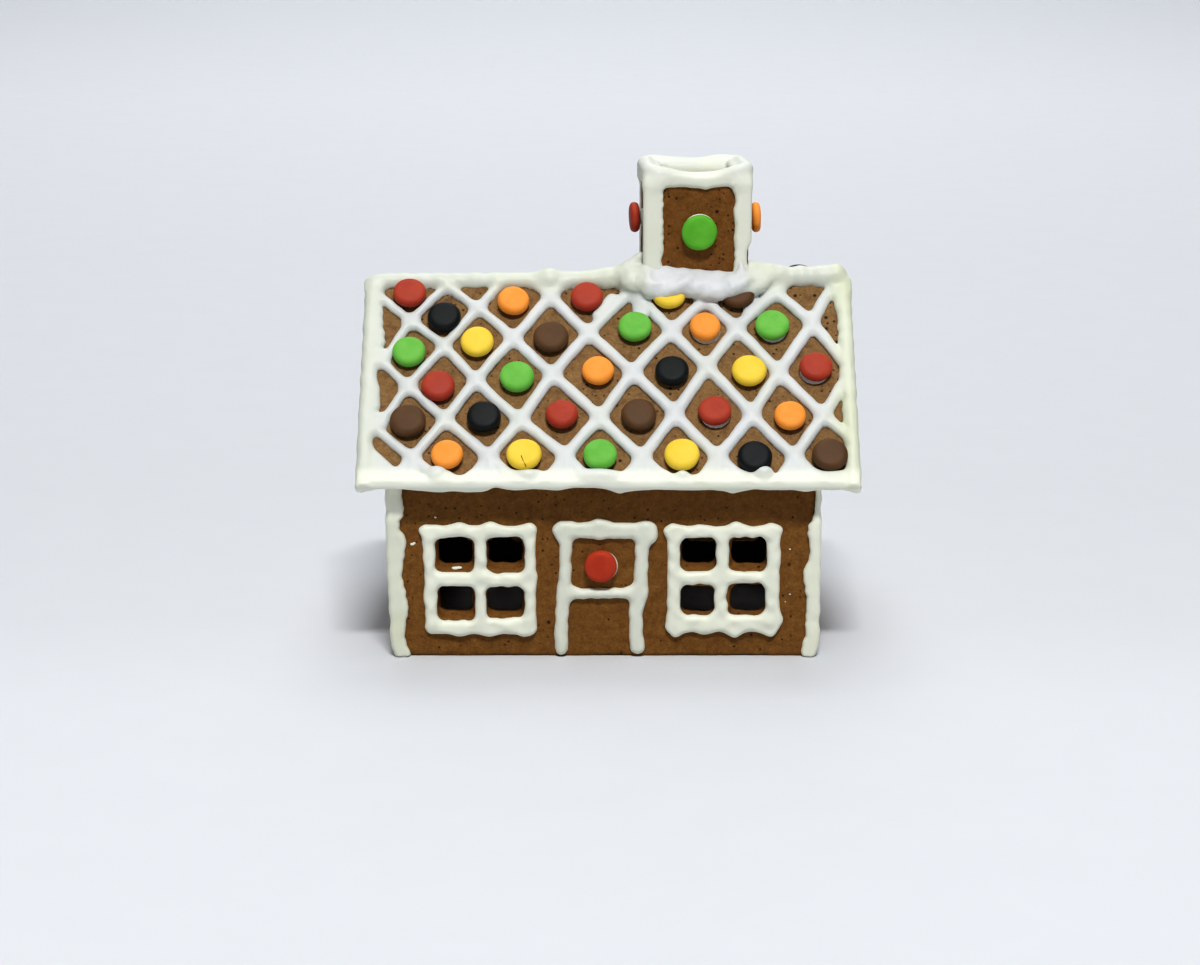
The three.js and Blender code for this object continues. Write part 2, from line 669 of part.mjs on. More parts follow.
// Icing up the chimney's four corners and round its top.
function chimneyIcing(keepOuts) {
  const [w, d] = [CHIMNEY.width / 2, CHIMNEY.depth / 2];
  const posts = [[-1, -1], [1, -1], [1, 1], [-1, 1]].map(([across, deep]) => {
    const low = deep < 0 ? ROOF.apex : ROOF.apex - 2 * d;
    const rings = straight([0, low], [0, RIM.bottom + 3], 2).map(([, z]) => {
      const section = roundCorner(POST, 0.25 * wander(z / 6, across + 2 * deep));
      return section.map(([p, q]) => chimneyPlace(across * (w - p), deep * (d - q), z));
    });
    return loft(rings, roundCorner(POST));
  });
  // Round the top: each stop is a place on the panels' outer edge and the way out from it.
  const stops = [];
  const quarters = [{ x: -1, y: -1, shares: [0, 0.25, 0.5, 0.75] }, { x: 1, y: -1, shares: [0, 0.5] },
    { x: 1, y: 1, shares: [0, 0.5] }, { x: -1, y: 1, shares: [0, 0.5] }];
  for (const { x, y, shares } of quarters) {
    const [alongX, alongY] = x * y > 0 ? [-x, 0] : [0, -y];
    for (const share of shares) {
      const sag = (y < 0 && alongX !== 0 ? RIM.sag : 0.4 * RIM.sag) * Math.sin(Math.PI * share) ** 2;
      const [nx, ny] = share === 0 ? [x, y] : [x * Math.abs(alongY), y * Math.abs(alongX)];
      stops.push({ x: w * x + 2 * w * share * alongX, y: d * y + 2 * d * share * alongY, nx, ny, sag });
    }
  }
  const rings = stops.map(({ x, y, nx, ny, sag }) => {
    const { bottom, outward, inward, round } = RIM;
    const top = RIM.top - sag;
    const dough = CHIMNEY.top + GAP;
    const section = [
      [GAP, bottom], [outward, bottom + 1], [outward, top - round], [outward - round, top],
      [round - inward, top], [-inward, top - round], [-inward, dough], [GAP, dough],
    ];
    return section.map(([p, z]) => chimneyPlace(x + nx * p, y + ny * p, z));
  });
  return cutBy(joined([...posts, loft(rings)]), keepOuts);
}

// ---------------------------------------------------------------- the house

const house = new THREE.Group();
house.name = 'gingerbread_house';

const FINISH = {
  dough: { roughness: 0.85, metalness: 0 },
  icing: { roughness: 0.55, metalness: 0 },
  candy: { roughness: 0.5, metalness: 0 },
};

const MATERIALS = Object.fromEntries(Object.entries(COLOURS).map(([name, colour]) => {
  const finish = FINISH[name] || FINISH.candy;
  return [name, new THREE.MeshStandardMaterial({ color: colour, ...finish })];
}));

// A solid without the loose crumbs that cutting can leave beside it.
function wholePiece(solid) {
  return solid.decompose().sort((p, q) => q.volume() - p.volume())[0];
}

function add(name, cut, material) {
  const solid = wholePiece(cut);
  const mesh = new THREE.Mesh(geometryOf(solid), MATERIALS[material]);
  mesh.name = name;
  house.add(mesh);
}

const roofOut = roofKeepOut();
const chimneyOut = chimneyKeepOut();

const frontCutters = ROOF_CANDIES.map(({ a, b }) => candyCutter(CANDY, FLAT, a, b));

// On the back slope a candy is left out where the chimney, its icing or the ridge candy lies.
const backCandies = ROOF_CANDIES.filter(({ a, b }) => {
  const beside = Math.abs(-a - CHIMNEY.middle) > BACK_CLEAR.aside || b > BACK_CLEAR.down;
  return beside && Math.hypot(-a - RIDGE_CANDY.x, b - RIDGE_CANDY.down) > 2 * CANDY.radius;
});
const backCutters = backCandies.map(({ a, b }) => candyCutter(BACK_CANDY, FLAT, a, b));
const stuck = backCandies.map(({ a, b }) => candySolid(BACK_CANDY, BACK_SLOPE, a, b, -0.1));
const ridgeCandyPlace = [BACK_SLOPE, -RIDGE_CANDY.x, RIDGE_CANDY.down];
const ridgeCandyOut = candyCutter(CANDY, ...ridgeCandyPlace, RIDGE_CANDY.lift - GAP);

add('wall_front', wall(FRONT_WALL), 'dough');
add('wall_back', wall(BACK_WALL), 'dough');
add('gable_left', gable(LEFT_GABLE), 'dough');
add('gable_right', gable(RIGHT_GABLE), 'dough');
add('roof_front', roofPanel(FRONT_SLOPE), 'dough');
add('roof_back', joined([roofPanel(BACK_SLOPE), ...stuck]), 'dough');
for (const [side, panel] of chimneyPanels(roofOut)) add(`chimney_${side}`, panel, 'dough');

for (const { name, colour, a, b } of ROOF_CANDIES) add(name, candySolid(CANDY, FRONT_SLOPE, a, b), colour);
add('candy_ridge_black', candySolid(CANDY, ...ridgeCandyPlace, RIDGE_CANDY.lift), 'black');
add('candy_door_red', candySolid(CANDY, FRONT_WALL, DOOR.middle + DOOR.candy[0], DOOR.candy[1]), 'red');
for (const [side, colour, kind, height] of [
  ['front', 'green', CANDY, CHIMNEY.candyHeight],
  ['right', 'orange', SMALL_CANDY, CHIMNEY.sideCandyHeight],
  ['back', 'yellow', CANDY, CHIMNEY.candyHeight],
  ['left', 'red', SMALL_CANDY, CHIMNEY.sideCandyHeight],
]) add(`candy_chimney_${side}_${colour}`, candySolid(kind, CHIMNEY_FACES[side], 0, height), colour);

const ridgeCutters = [
  chimneyOut, ridgeCandyOut,
  ...frontCutters.map((cutter) => laidOn(cutter, FRONT_SLOPE)),
  ...backCutters.map((cutter) => laidOn(cutter, BACK_SLOPE)),
];
add('icing_ridge', cutBy(ridgeIcing(), ridgeCutters), 'icing');

const heapClearing = ridgeClearing(RIDGE_ICING.foot, SNOW.left + 1, SNOW.right - 1, SNOW.foot + 1, 9);
const chimneySides = [CHIMNEY.middle + COLLAR.aside, CHIMNEY.middle - COLLAR.aside].map((x) => -x);
const collarClearing = ridgeClearing(RIDGE_ICING.backFoot, ...chimneySides, COLLAR.down, 0.5);
add('icing_roof_front', slopeIcing(FRONT_SLOPE, frontCutters, heapClearing), 'icing');
add('icing_roof_back', slopeIcing(BACK_SLOPE, backCutters, collarClearing), 'icing');

for (const [side, on] of [['front', FRONT_WALL], ['back', BACK_WALL]]) {
  WINDOW_MIDDLES.forEach((middle, i) => {
    add(`icing_window_${side}_${i + 1}`, windowIcing(on, middle), 'icing');
  });
}
add('icing_door', doorIcing(FRONT_WALL), 'icing');
add('icing_gable_left', gableIcing(-1, LEFT_GABLE, roofOut), 'icing');
add('icing_gable_right', gableIcing(1, RIGHT_GABLE, roofOut), 'icing');

// The chimney's icing ends above the ridge icing at its front and above the strands behind it.
const far = ROOF.width / 2;
const behind = RIDGE_ICING.crest[1] + RIDGE_ICING.shoulder;
const heapRoom = block([-far, -far, 0], [far, behind, ROOF.apex + RIDGE_ICING.topRight + GAP]);
const collarRoom = block([-far, 0, -far], [far, far, COLLAR.height + 2 * GAP]);
add('icing_chimney', chimneyIcing([heapRoom, laidOn(collarRoom, BACK_SLOPE)]), 'icing');

export default house;
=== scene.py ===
"""A gingerbread house: baked dough panels, piped icing and round sugar-shelled candies.

Shapes are worked out in millimetres and put into the meshes in metres. The front faces -Y, the
ridge runs along X, and the house stands on z = 0. Dough and icing are skins of fields: a field is
an array that is negative inside a body and grows about as fast as the distance from its surface.
"""

import bpy
import numpy as np
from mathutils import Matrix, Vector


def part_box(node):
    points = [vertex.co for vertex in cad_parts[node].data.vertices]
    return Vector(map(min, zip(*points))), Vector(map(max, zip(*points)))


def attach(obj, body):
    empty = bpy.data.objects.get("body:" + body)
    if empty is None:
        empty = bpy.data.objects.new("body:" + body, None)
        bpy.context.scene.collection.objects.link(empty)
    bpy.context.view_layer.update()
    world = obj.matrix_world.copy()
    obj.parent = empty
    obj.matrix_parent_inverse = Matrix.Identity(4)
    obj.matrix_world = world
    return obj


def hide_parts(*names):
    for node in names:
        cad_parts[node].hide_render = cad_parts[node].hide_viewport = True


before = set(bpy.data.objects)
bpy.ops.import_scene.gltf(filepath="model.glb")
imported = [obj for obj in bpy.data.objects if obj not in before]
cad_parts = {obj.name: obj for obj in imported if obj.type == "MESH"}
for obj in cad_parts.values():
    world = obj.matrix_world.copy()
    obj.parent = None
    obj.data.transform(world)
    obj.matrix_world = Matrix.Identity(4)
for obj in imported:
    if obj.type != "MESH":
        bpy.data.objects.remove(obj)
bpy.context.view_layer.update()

MM = 0.001


def node_box(node):
    """Lowest and highest corner of a node, in millimetres."""
    return [np.array(corner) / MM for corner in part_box(node)]


# ------------------------------------------------------------------ sizes, from the frame

GAP = 0.3                               # the frame leaves this between touching pieces
ROOT_HALF = np.sqrt(0.5)                # sine and cosine of the roof's pitch
roof_low, roof_high = node_box("roof_front")
ROOF_HALF = roof_high[0]
APEX = roof_high[2] + GAP / 2
RUN = -roof_low[1] / ROOT_HALF
ROOF_THICK = (APEX - roof_low[2]) / ROOT_HALF - RUN
wall_low, wall_high = node_box("wall_front")
WALL_Y = -wall_low[1]                   # outer faces of the front and back walls
WALL_THICK = wall_high[1] - wall_low[1]
WALL_TOP = wall_high[2]
HOUSE_LEFT, HOUSE_RIGHT = wall_low[0], wall_high[0]
HOUSE_SHIFT = (HOUSE_LEFT + HOUSE_RIGHT) / 2

PANE = {"pitch": 18.5, "width": 14.2, "height": 13.0, "corner": 3.0, "side_taper": 1.0,
        "sill_rise": 1.9, "head_drop": 0.3}
WINDOW_MIDDLES = (-47.3, 42.8)
WINDOW_HEIGHT = 30.2

LATTICE = {"pitch": 28.0, "left": -75.0, "bottom": 78.0, "height": 62.0, "fan": 2.2,
           "drift": 3.2, "sway": 1.35, "dip": 3.0, "strands": 8}
LATTICE_LEVELS = (1.25, 1.0, 0.78, 0.53, 0.26, 0.0, -0.26)
FIRST_LEVEL = 1                         # the level at which a strand starts to be counted

# Crossings that lie off their regular places, by level and column: how far across and down.
SHIFTED = {
    (0, 0.5): (0.6, 4.0), (1, 0): (0.7, 1.6), (1, 2): (-0.6, -2.2), (1, 3): (0, -3.2),
    (1, 4): (1.7, 2.5), (1, 5): (0.7, -0.8), (1, 6): (-7.4, -1.8), (2, -0.5): (4.8, 4.8),
    (2, 0.5): (0, 1.0), (2, 2.5): (-1.9, 0), (2, 3.5): (1.2, 0.3), (2, 5.5): (-1.6, -2.0),
    (3, 0): (0.4, 2.2), (3, 1): (-0.4, 0.9), (3, 4): (1.6, -1.4), (3, 5): (0.3, 1.6),
    (3, 6): (-2.4, 1.8), (4, -0.5): (2.1, 3.0), (4, 1.5): (0.6, 1.1), (4, 2.5): (0.7, 0.5),
    (4, 3.5): (0.7, -0.3), (4, 4.5): (2.1, 0.2), (4, 5.5): (-0.7, 0.6)}

CHIMNEY = {"width": 39.0, "depth": 28.0, "thick": 5.0, "middle": 33.1, "front": -1.0,
           "top": 172.5, "turn": np.radians(3.5)}
CHIMNEY_BACK = CHIMNEY["front"] + CHIMNEY["depth"]
CHIMNEY_Y = CHIMNEY["front"] + CHIMNEY["depth"] / 2
TURN_COS, TURN_SIN = np.cos(CHIMNEY["turn"]), np.sin(CHIMNEY["turn"])

CAMERA = {"place": (-3.02, -1051.31, 314.90), "down": 14.0, "lens": 84.0, "sensor": 36.0}

# ------------------------------------------------------------------ numbers for whole arrays

WAVES = 8                               # how many a wobble is the sum of
READINGS = (-1, -0.5, 0, 0.5, 1)        # places of the readings that round a line's corners


def wobble(size, seed, *places):
    """Smooth uneven values of about -1 to 1.

    The sum of plane waves of seeded directions and phases, each about size mm long.
    """
    rng = np.random.default_rng(seed)
    total = 0.0
    for _ in range(WAVES):
        way = rng.normal(size=len(places))
        way *= 2 * np.pi * rng.uniform(0.6, 1.6) / (size * np.linalg.norm(way))
        phase = rng.uniform(0, 2 * np.pi)
        total = total + np.sin(sum(w * p for w, p in zip(way, places)) + phase)
    return total / 3.2


def lumps(along, bumps, width):
    """Sum of bell curves: each bump is its place along the line and its height."""
    return sum(height * np.exp(-((along - place) / width) ** 2) for place, height in bumps)


def through(along, stops, soft=0.0):
    """Values read off a line through stops, each a place and a value, in order of place.

    Its corners are rounded by the mean of a few readings, up to soft to either side.
    """
    places, values = np.array(stops, float).T
    readings = [np.interp(along + soft * step, places, values) for step in READINGS]
    return sum(readings) / len(READINGS)


def rise(x, low, high):
    """0 below low, 1 above high, with an even ease between."""
    t = np.clip((x - low) / (high - low), 0, 1)
    return t * t * (3 - 2 * t)


def melt(a, b, soft):
    """The smaller of two fields, with the corner between them filled over a width of soft."""
    t = np.clip(soft - np.abs(a - b), 0, None) / soft
    return np.minimum(a, b) - t * t * soft / 4


def carve(a, b, soft):
    """Field a without what is inside field b, with its new edge rounded over soft."""
    return -melt(-a, b, soft)


def shared(*fields):
    """What several bodies share: the largest of their fields."""
    whole = fields[0]
    for field in fields[1:]:
        whole = np.maximum(whole, field)
    return whole


def capsule(places, start, end, start_radius, end_radius):
    """Distance from a straight round bar whose radius goes evenly from one end to the other."""
    start, end = np.array(start, float), np.array(end, float)
    way = end - start
    offsets = [p - s for p, s in zip(places, start)]
    share = np.clip(sum(o * w for o, w in zip(offsets, way)) / (way @ way), 0, 1)
    away = np.sqrt(sum((o - share * w) ** 2 for o, w in zip(offsets, way)))
    return away - (start_radius + (end_radius - start_radius) * share)


def bar(along, start, end, across, radius):
    """Distance from a round bar that runs from start to end along one measure.

    The root of the squares of how far a place is past its ends and across it, less its radius.
    """
    past = np.minimum(along - start, 0) ** 2 + np.maximum(along - end, 0) ** 2
    return np.sqrt(past + across ** 2) - radius


def ellipsoid(places, middle, halves):
    """Ellipsoid: the length of the offset in units of its half axes, less one, times the least."""
    scaled = np.sqrt(sum(((p - m) / h) ** 2 for p, m, h in zip(places, middle, halves)))
    return min(halves) * (scaled - 1)


def blobs(places, rows):
    """Small lumps as one field: each row is an ellipsoid's middle and its half axes."""
    return np.minimum.reduce([ellipsoid(places, row[:3], row[3:]) for row in rows])


def rounded(past, corner):
    """Distance from a form with rounded edges, from how far a place is past each pair of faces.

    The length of what is past the middles of the roundings, or the largest of it where none is,
    less the radius of the corner.
    """
    past = [q + corner for q in past]
    outside = np.sqrt(sum(np.maximum(q, 0) ** 2 for q in past))
    return outside + np.minimum(shared(*past), 0) - corner


def box(places, middle, halves, corner):
    """Distance from a box, or in two measures from a rectangle, with rounded edges."""
    return rounded([np.abs(p - m) - h for p, m, h in zip(places, middle, halves)], corner)


def smooth_line(points, steps):
    """Points of a smooth line through given points: each span is a Catmull-Rom cubic."""
    points = np.array(points, float)
    padded = np.vstack([2 * points[0] - points[1], points, 2 * points[-1] - points[-2]])
    t = np.linspace(0, 1, steps, endpoint=False)[:, None]
    spans = []
    for a, b, c, d in zip(padded[:-3], padded[1:-2], padded[2:-1], padded[3:]):
        spans.append(0.5 * (2 * b + (c - a) * t + (2 * a - 5 * b + 4 * c - d) * t ** 2
                            + (3 * b - a - 3 * c + d) * t ** 3))
    return np.vstack([*spans, points[-1:]])


# ------------------------------------------------------------------ meshes


def grid(low, high, cell):
    """Places of a regular grid between two corners, as three open arrays."""
    axes = [np.arange(a, b + cell, cell) for a, b in zip(low, high)]
    return np.meshgrid(*axes, indexing="ij", sparse=True)


def skin(field, low, cell):
    """Closed surface where a field on a grid is zero.

    One point in each cell that it passes, at the mean of the crossings of the cell's edges, and
    one quad round each edge that it crosses.
    """
    field = np.pad(field, 1, constant_values=cell)
    low = np.array(low) - cell
    cells = tuple(n - 1 for n in field.shape)
    count = np.zeros(cells, np.float32)
    total = np.zeros(cells + (3,), np.float32)
    edges = []
    for axis in range(3):
        ends = [tuple(part if k == axis else slice(None) for k in range(3))
                for part in (slice(0, -1), slice(1, None))]
        first, second = field[ends[0]], field[ends[1]]
        crossed = (first < 0) != (second < 0)
        share = np.where(crossed, first / np.where(crossed, first - second, 1), 0)
        side_a, side_b = [k for k in range(3) if k != axis]
        for p in (0, 1):
            for q in (0, 1):
                window = [slice(None)] * 3
                window[side_a] = slice(p, p + cells[side_a])
                window[side_b] = slice(q, q + cells[side_b])
                hit = crossed[tuple(window)]
                count += hit
                total[..., axis] += share[tuple(window)]
                total[..., side_a] += p * hit
                total[..., side_b] += q * hit
        edges.append((axis, side_a, side_b, crossed, first < 0))
    used = count > 0
    number = np.full(cells, -1, np.int64)
    number[used] = np.arange(np.count_nonzero(used))
    places = (np.argwhere(used) + total[used] / count[used][:, None]) * cell + low
    quads = []
    for axis, side_a, side_b, crossed, inside in edges:
        spots = np.argwhere(crossed)
        ring = []
        for p, q in ((0, 0), (1, 0), (1, 1), (0, 1)):
            corner = spots.copy()
            corner[:, side_a] -= p
            corner[:, side_b] -= q
            ring.append(number[tuple(corner.T)])
        quad = np.stack(ring, axis=1)
        turned = ~inside[crossed] if axis != 1 else inside[crossed]
        quad[turned] = quad[turned][:, ::-1]
        quads.append(quad)
    return places, [np.concatenate(quads)]


def outward(places, faces):
    """Faces turned round if they point inwards, which a mirroring placement does.

    They do if the volume inside is negative: a sixth of the sum of a . (b x c) over triangles.
    """
    centred = places - np.mean(places, axis=0)
    volume = 0.0
    for group in faces:
        first = centred[group[:, 0]]
        for k in range(1, group.shape[1] - 1):
            volume += np.sum(first * np.cross(centred[group[:, k]], centred[group[:, k + 1]]))
    return faces if volume > 0 else [group[:, ::-1] for group in faces]


def add_object(name, data):
    """An object with its data, put into the scene."""
    thing = bpy.data.objects.new(name, data)
    bpy.context.scene.collection.objects.link(thing)
    return thing


def make_piece(name, places, faces, material, slot, replaced=()):
    """A smooth mesh from points in mm and arrays of faces, one for each number of corners."""
    faces = outward(places, faces)
    mesh = bpy.data.meshes.new(name)
    mesh.vertices.add(len(places))
    mesh.vertices.foreach_set("co", (np.asarray(places) * MM).astype(np.float32).ravel())
    corners = np.concatenate([f.ravel() for f in faces])
    sizes = np.concatenate([np.full(len(f), f.shape[1]) for f in faces])
    mesh.loops.add(len(corners))
    mesh.loops.foreach_set("vertex_index", corners.astype(np.int32))
    mesh.polygons.add(len(sizes))
    mesh.polygons.foreach_set("loop_start", (np.cumsum(sizes) - sizes).astype(np.int32))
    mesh.update(calc_edges=True)
    mesh.validate()
    mesh.shade_smooth()
    mesh.materials.append(material)
    piece = add_object(name, mesh)
    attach(piece, "root")
    if replaced:
        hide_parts(*replaced)
    return piece


def placed(points, spot=None):
    """Points of a local grid moved to the world by a function of their three numbers, if any."""
    return points if spot is None else np.stack(np.broadcast_arrays(*spot(*points.T)), axis=1)


def make_skin(name, field, low, cell, material, slot, spot=None):
    """The skin of a field, moved by spot, as the piece that stands for a node, and its points."""
    points, faces = skin(field, low, cell)
    points = placed(points, spot)
    return make_piece(name, points, faces, material, slot, [name]), points


def grid_quads(rows, columns, closed=False):
    """Quads of a grid of points, row by row: closed joins each row's end to its start too."""
    row, place = np.meshgrid(np.arange(rows - 1), np.arange(columns if closed else columns - 1),
                             indexing="ij")
    here, beside = row * columns + place, row * columns + (place + 1) % columns
    return np.stack([here, beside, beside + columns, here + columns], axis=2).reshape(-1, 4)


# ------------------------------------------------------------------ places on the house


def on_slope(side, a, s, h):
    """World place of a point of a slope: a across, s down from the apex, h out of the dough.

    side is -1 for the front, where a is x, and 1 for the back, where a is -x.
    """
    return -side * a, side * ROOT_HALF * (s + h), APEX + ROOT_HALF * (h - s)


def slope_place(side, x, y, z):
    """The a, s and h of a world place on one slope: the other way round from on_slope."""
    return -side * x, ROOT_HALF * (side * y - z + APEX), ROOT_HALF * (side * y + z - APEX)


def over_roof(x, y, z):
    """How far a place is out of the dough of the roof: the larger of its heights on its slopes."""
    return np.maximum(*(slope_place(side, x, y, z)[2] for side in (-1, 1)))


def chimney_place(a, b, z):
    """World place of a point in the chimney's own axes: across its front, through it, and up."""
    return (CHIMNEY["middle"] + a * TURN_COS - b * TURN_SIN,
            CHIMNEY_Y + a * TURN_SIN + b * TURN_COS, z)


def in_chimney(x, y, z):
    """The chimney's own axes of a world place: the other way round from chimney_place."""
    x, y = x - CHIMNEY["middle"], y - CHIMNEY_Y
    return x * TURN_COS + y * TURN_SIN, y * TURN_COS - x * TURN_SIN, z


def crossing(level, column):
    """Where two lattice strands cross: how far across, and how far down the slope.

    Rows lie at shares of the lattice's height. They drift right going down, sway by a cosine
    over three columns and rise by a sine over five, and some crossings are shifted.
    """
    up = LATTICE_LEVELS[level]
    sway = LATTICE["sway"] * (1 - np.cos(2 * np.pi * column / 3)) * min(1, max(0, 2 * up))
    across = LATTICE["left"] + LATTICE["pitch"] * column + LATTICE["drift"] * (1 - up) ** 3 - sway
    dip = LATTICE["dip"] * np.sin(np.pi * column / 5) * up * up
    down = LATTICE["bottom"] - up * (LATTICE["height"] + LATTICE["fan"] * column) - dip
    aside, lower = SHIFTED.get((level, column), (0, 0))
    return across + aside, down + lower


# ------------------------------------------------------------------ shader building


def fill(tree, socket, value):
    """Gives a socket its value: a link from another socket, a number, or a colour."""
    if isinstance(value, bpy.types.NodeSocket):
        tree.links.new(value, socket)
    else:
        socket.default_value = (*value, 1) if socket.type == "RGBA" else value


def add_node(tree, kind, sets=None, **inputs):
    """Adds a shader node: sets are its own properties, and inputs are values or sockets to link.

    An input goes by its name, with _ for a space, or by the letter i and its number.
    """
    node = tree.nodes.new("ShaderNode" + kind)
    for key, value in (sets or {}).items():
        setattr(node, key, value)
    for key, value in inputs.items():
        numbered = key[0] == "i" and key[1:].isdigit()
        fill(tree, node.inputs[int(key[1:]) if numbered else key.replace("_", " ")], value)
    return node


def maths(tree, operation, first, second, clamp=False):
    """One sum, product or comparison of two values."""
    sets = {"operation": operation, "use_clamp": clamp}
    return add_node(tree, "Math", sets, i0=first, i1=second).outputs[0]


def ramp(tree, value, tones, places=(0.3, 0.7), interpolation="EASE"):
    """Colour ramp: each tone, which is a colour or a grey, at its place."""
    node = add_node(tree, "ValToRGB", i0=value)
    elements = node.color_ramp.elements
    node.color_ramp.interpolation = interpolation
    while len(elements) < len(tones):
        elements.new(0.5)
    for element, place, tone in zip(elements, places, tones):
        element.position = place
        element.color = (*tone, 1) if np.ndim(tone) else (tone, tone, tone, 1)
    return node.outputs["Color"]


def mix_colour(tree, share, first, second, blend="MIX"):
    """One colour mixed into another by a share, which may be a socket or a number."""
    sets = {"data_type": "RGBA", "blend_type": blend}
    return add_node(tree, "Mix", sets, i0=share, i6=first, i7=second).outputs[2]


def bump(tree, height, strength, distance):
    """The normal of a surface that a fine height stands on."""
    return add_node(tree, "Bump", Height=height, Strength=strength, Distance=distance).outputs[0]


def new_material(name):
    """A material with an empty tree, that tree, and the places on the object."""
    material = bpy.data.materials.new(name)
    material.use_nodes = True
    tree = material.node_tree
    tree.nodes.clear()
    return material, tree, add_node(tree, "TexCoord").outputs["Object"]


def surface(tree, **inputs):
    """The shader of a material, put out as its surface."""
    shader = add_node(tree, "BsdfPrincipled", **inputs)
    add_node(tree, "OutputMaterial", Surface=shader.outputs[0])


def new_group(name, inputs, outputs):
    """A node group's tree, with what it is given and the sockets of what it puts out."""
    tree = bpy.data.node_groups.new(name, "ShaderNodeTree")
    for way, sockets in (("INPUT", inputs), ("OUTPUT", outputs)):
        for socket in sockets:
            kind = "NodeSocketVector" if socket == "Vector" else "NodeSocketFloat"
            tree.interface.new_socket(socket, in_out=way, socket_type=kind)
    given = tree.nodes.new("NodeGroupInput").outputs
    return tree, given, tree.nodes.new("NodeGroupOutput").inputs


def grain_group():
    """Node group: fine grain at one size, and soft uneven patches about eight times as wide."""
    tree, given, out = new_group("grain", ("Vector", "Scale", "Roughness"), ("Patches", "Grain"))
    wide = maths(tree, "MULTIPLY", given["Scale"], 0.12)
    for mask, scale, detail in (("Patches", wide, 3.0), ("Grain", given["Scale"], 5.0)):
        noise = add_node(tree, "TexNoise", Vector=given["Vector"], Scale=scale, Detail=detail,
                         Roughness=given["Roughness"])
        tree.links.new(noise.outputs[0], out[mask])
    return tree


def pits_group():
    """Node group: sparse round pits, deeper in the middle.

    Each cell of a Voronoi pattern has at most one, and its colour leaves most of them out.
    """
    tree, given, out = new_group("pits", ("Vector", "Scale", "Share", "Radius"), ("Pit",))
    cells = add_node(tree, "TexVoronoi", Vector=given["Vector"], Scale=given["Scale"],
                     Randomness=1.0)
    tint = add_node(tree, "SeparateColor", Color=cells.outputs["Color"]).outputs
    chosen = maths(tree, "LESS_THAN", tint[0], given["Share"])
    size = maths(tree, "MULTIPLY", given["Radius"], tint[1])
    depth = add_node(tree, "MapRange", {"interpolation_type": "SMOOTHSTEP"},
                     Value=cells.outputs["Distance"], i1=0.0, i2=size, i3=1.0, i4=0.0)
    tree.links.new(maths(tree, "MULTIPLY", depth.outputs[0], chosen), out["Pit"])
    return tree


GRAIN = grain_group()
PITS = pits_group()


def add_group(tree, group, at, **inputs):
    """What a node group puts out in a material, with the material's own values."""
    return add_node(tree, "Group", {"node_tree": group}, Vector=at, **inputs).outputs


# ------------------------------------------------------------------ finishes

PORE_SHADE = (0.022, 0.011, 0.005)


def dough_material(name, tones, pore_share):
    """Baked gingerbread: darker and ruddier patches, fine crumb, and small dark pores."""
    material, tree, at = new_material(name)
    crumb = add_group(tree, GRAIN, at, Scale=1100.0, Roughness=0.65)["Grain"]
    baked = add_group(tree, GRAIN, at, Scale=330.0, Roughness=0.6)["Grain"]
    pores = add_group(tree, PITS, at, Scale=620.0, Share=pore_share, Radius=0.5)["Pit"]
    holes = add_group(tree, PITS, at, Scale=270.0, Share=0.6 * pore_share, Radius=0.34)["Pit"]
    colour = ramp(tree, baked, tones, (0.30, 0.5, 0.70))
    speck = ramp(tree, crumb, (0.72, 1.20), interpolation="LINEAR")
    colour = mix_colour(tree, 1.0, colour, speck, "MULTIPLY")
    pit = maths(tree, "MAXIMUM", pores, holes)
    colour = mix_colour(tree, maths(tree, "MULTIPLY", pit, 1.4, clamp=True), colour, PORE_SHADE)
    surface(tree, Base_Color=colour, Specular_IOR_Level=0.12,
            Roughness=ramp(tree, baked, (0.62, 0.82), interpolation="LINEAR"),
            Normal=bump(tree, maths(tree, "SUBTRACT", crumb, pit), 0.5, 0.0004))
    return material


# Icing tones: plain and creamy patches, the heap's frosted tint, and last a painted light tone, a
# brighter colour mixed in where the icing gets too little light.
ICING_TONES = {"plain": ((0.597, 0.620, 0.625), (0.638, 0.658, 0.671)),
               "cream": ((0.622, 0.655, 0.484), (0.674, 0.708, 0.570)),
               "frost": (0.65, 0.665, 0.68), "painted_light": (0.88, 0.90, 0.77)}


def icing_material():
    """Dried royal icing: pale as snow, with faint patches and a soft sheen.

    Three attributes of the piece say where it is creamier and where it is frosted, and where it
    carries painted light: a brighter colour put where the icing gets too little light.
    """
    material, tree, at = new_material("royal_icing")
    waves = add_group(tree, GRAIN, at, Scale=420.0, Roughness=0.45)
    colour = ramp(tree, waves["Patches"], ICING_TONES["plain"])
    rich = ramp(tree, waves["Patches"], ICING_TONES["cream"])
    for mask, tone in (("cream", rich), ("frost", ICING_TONES["frost"]),
                       ("painted_light", ICING_TONES["painted_light"])):
        share = add_node(tree, "Attribute", {"attribute_name": mask}).outputs["Fac"]
        colour = mix_colour(tree, share, colour, tone)
    surface(tree, Base_Color=colour, Specular_IOR_Level=0.4,
            Roughness=ramp(tree, waves["Patches"], (0.42, 0.56), interpolation="LINEAR"),
            Normal=bump(tree, waves["Grain"], 0.18, 0.0005), Subsurface_Weight=0.25,
            Subsurface_Radius=(1.0, 0.9, 0.75), Subsurface_Scale=0.0012)
    return material


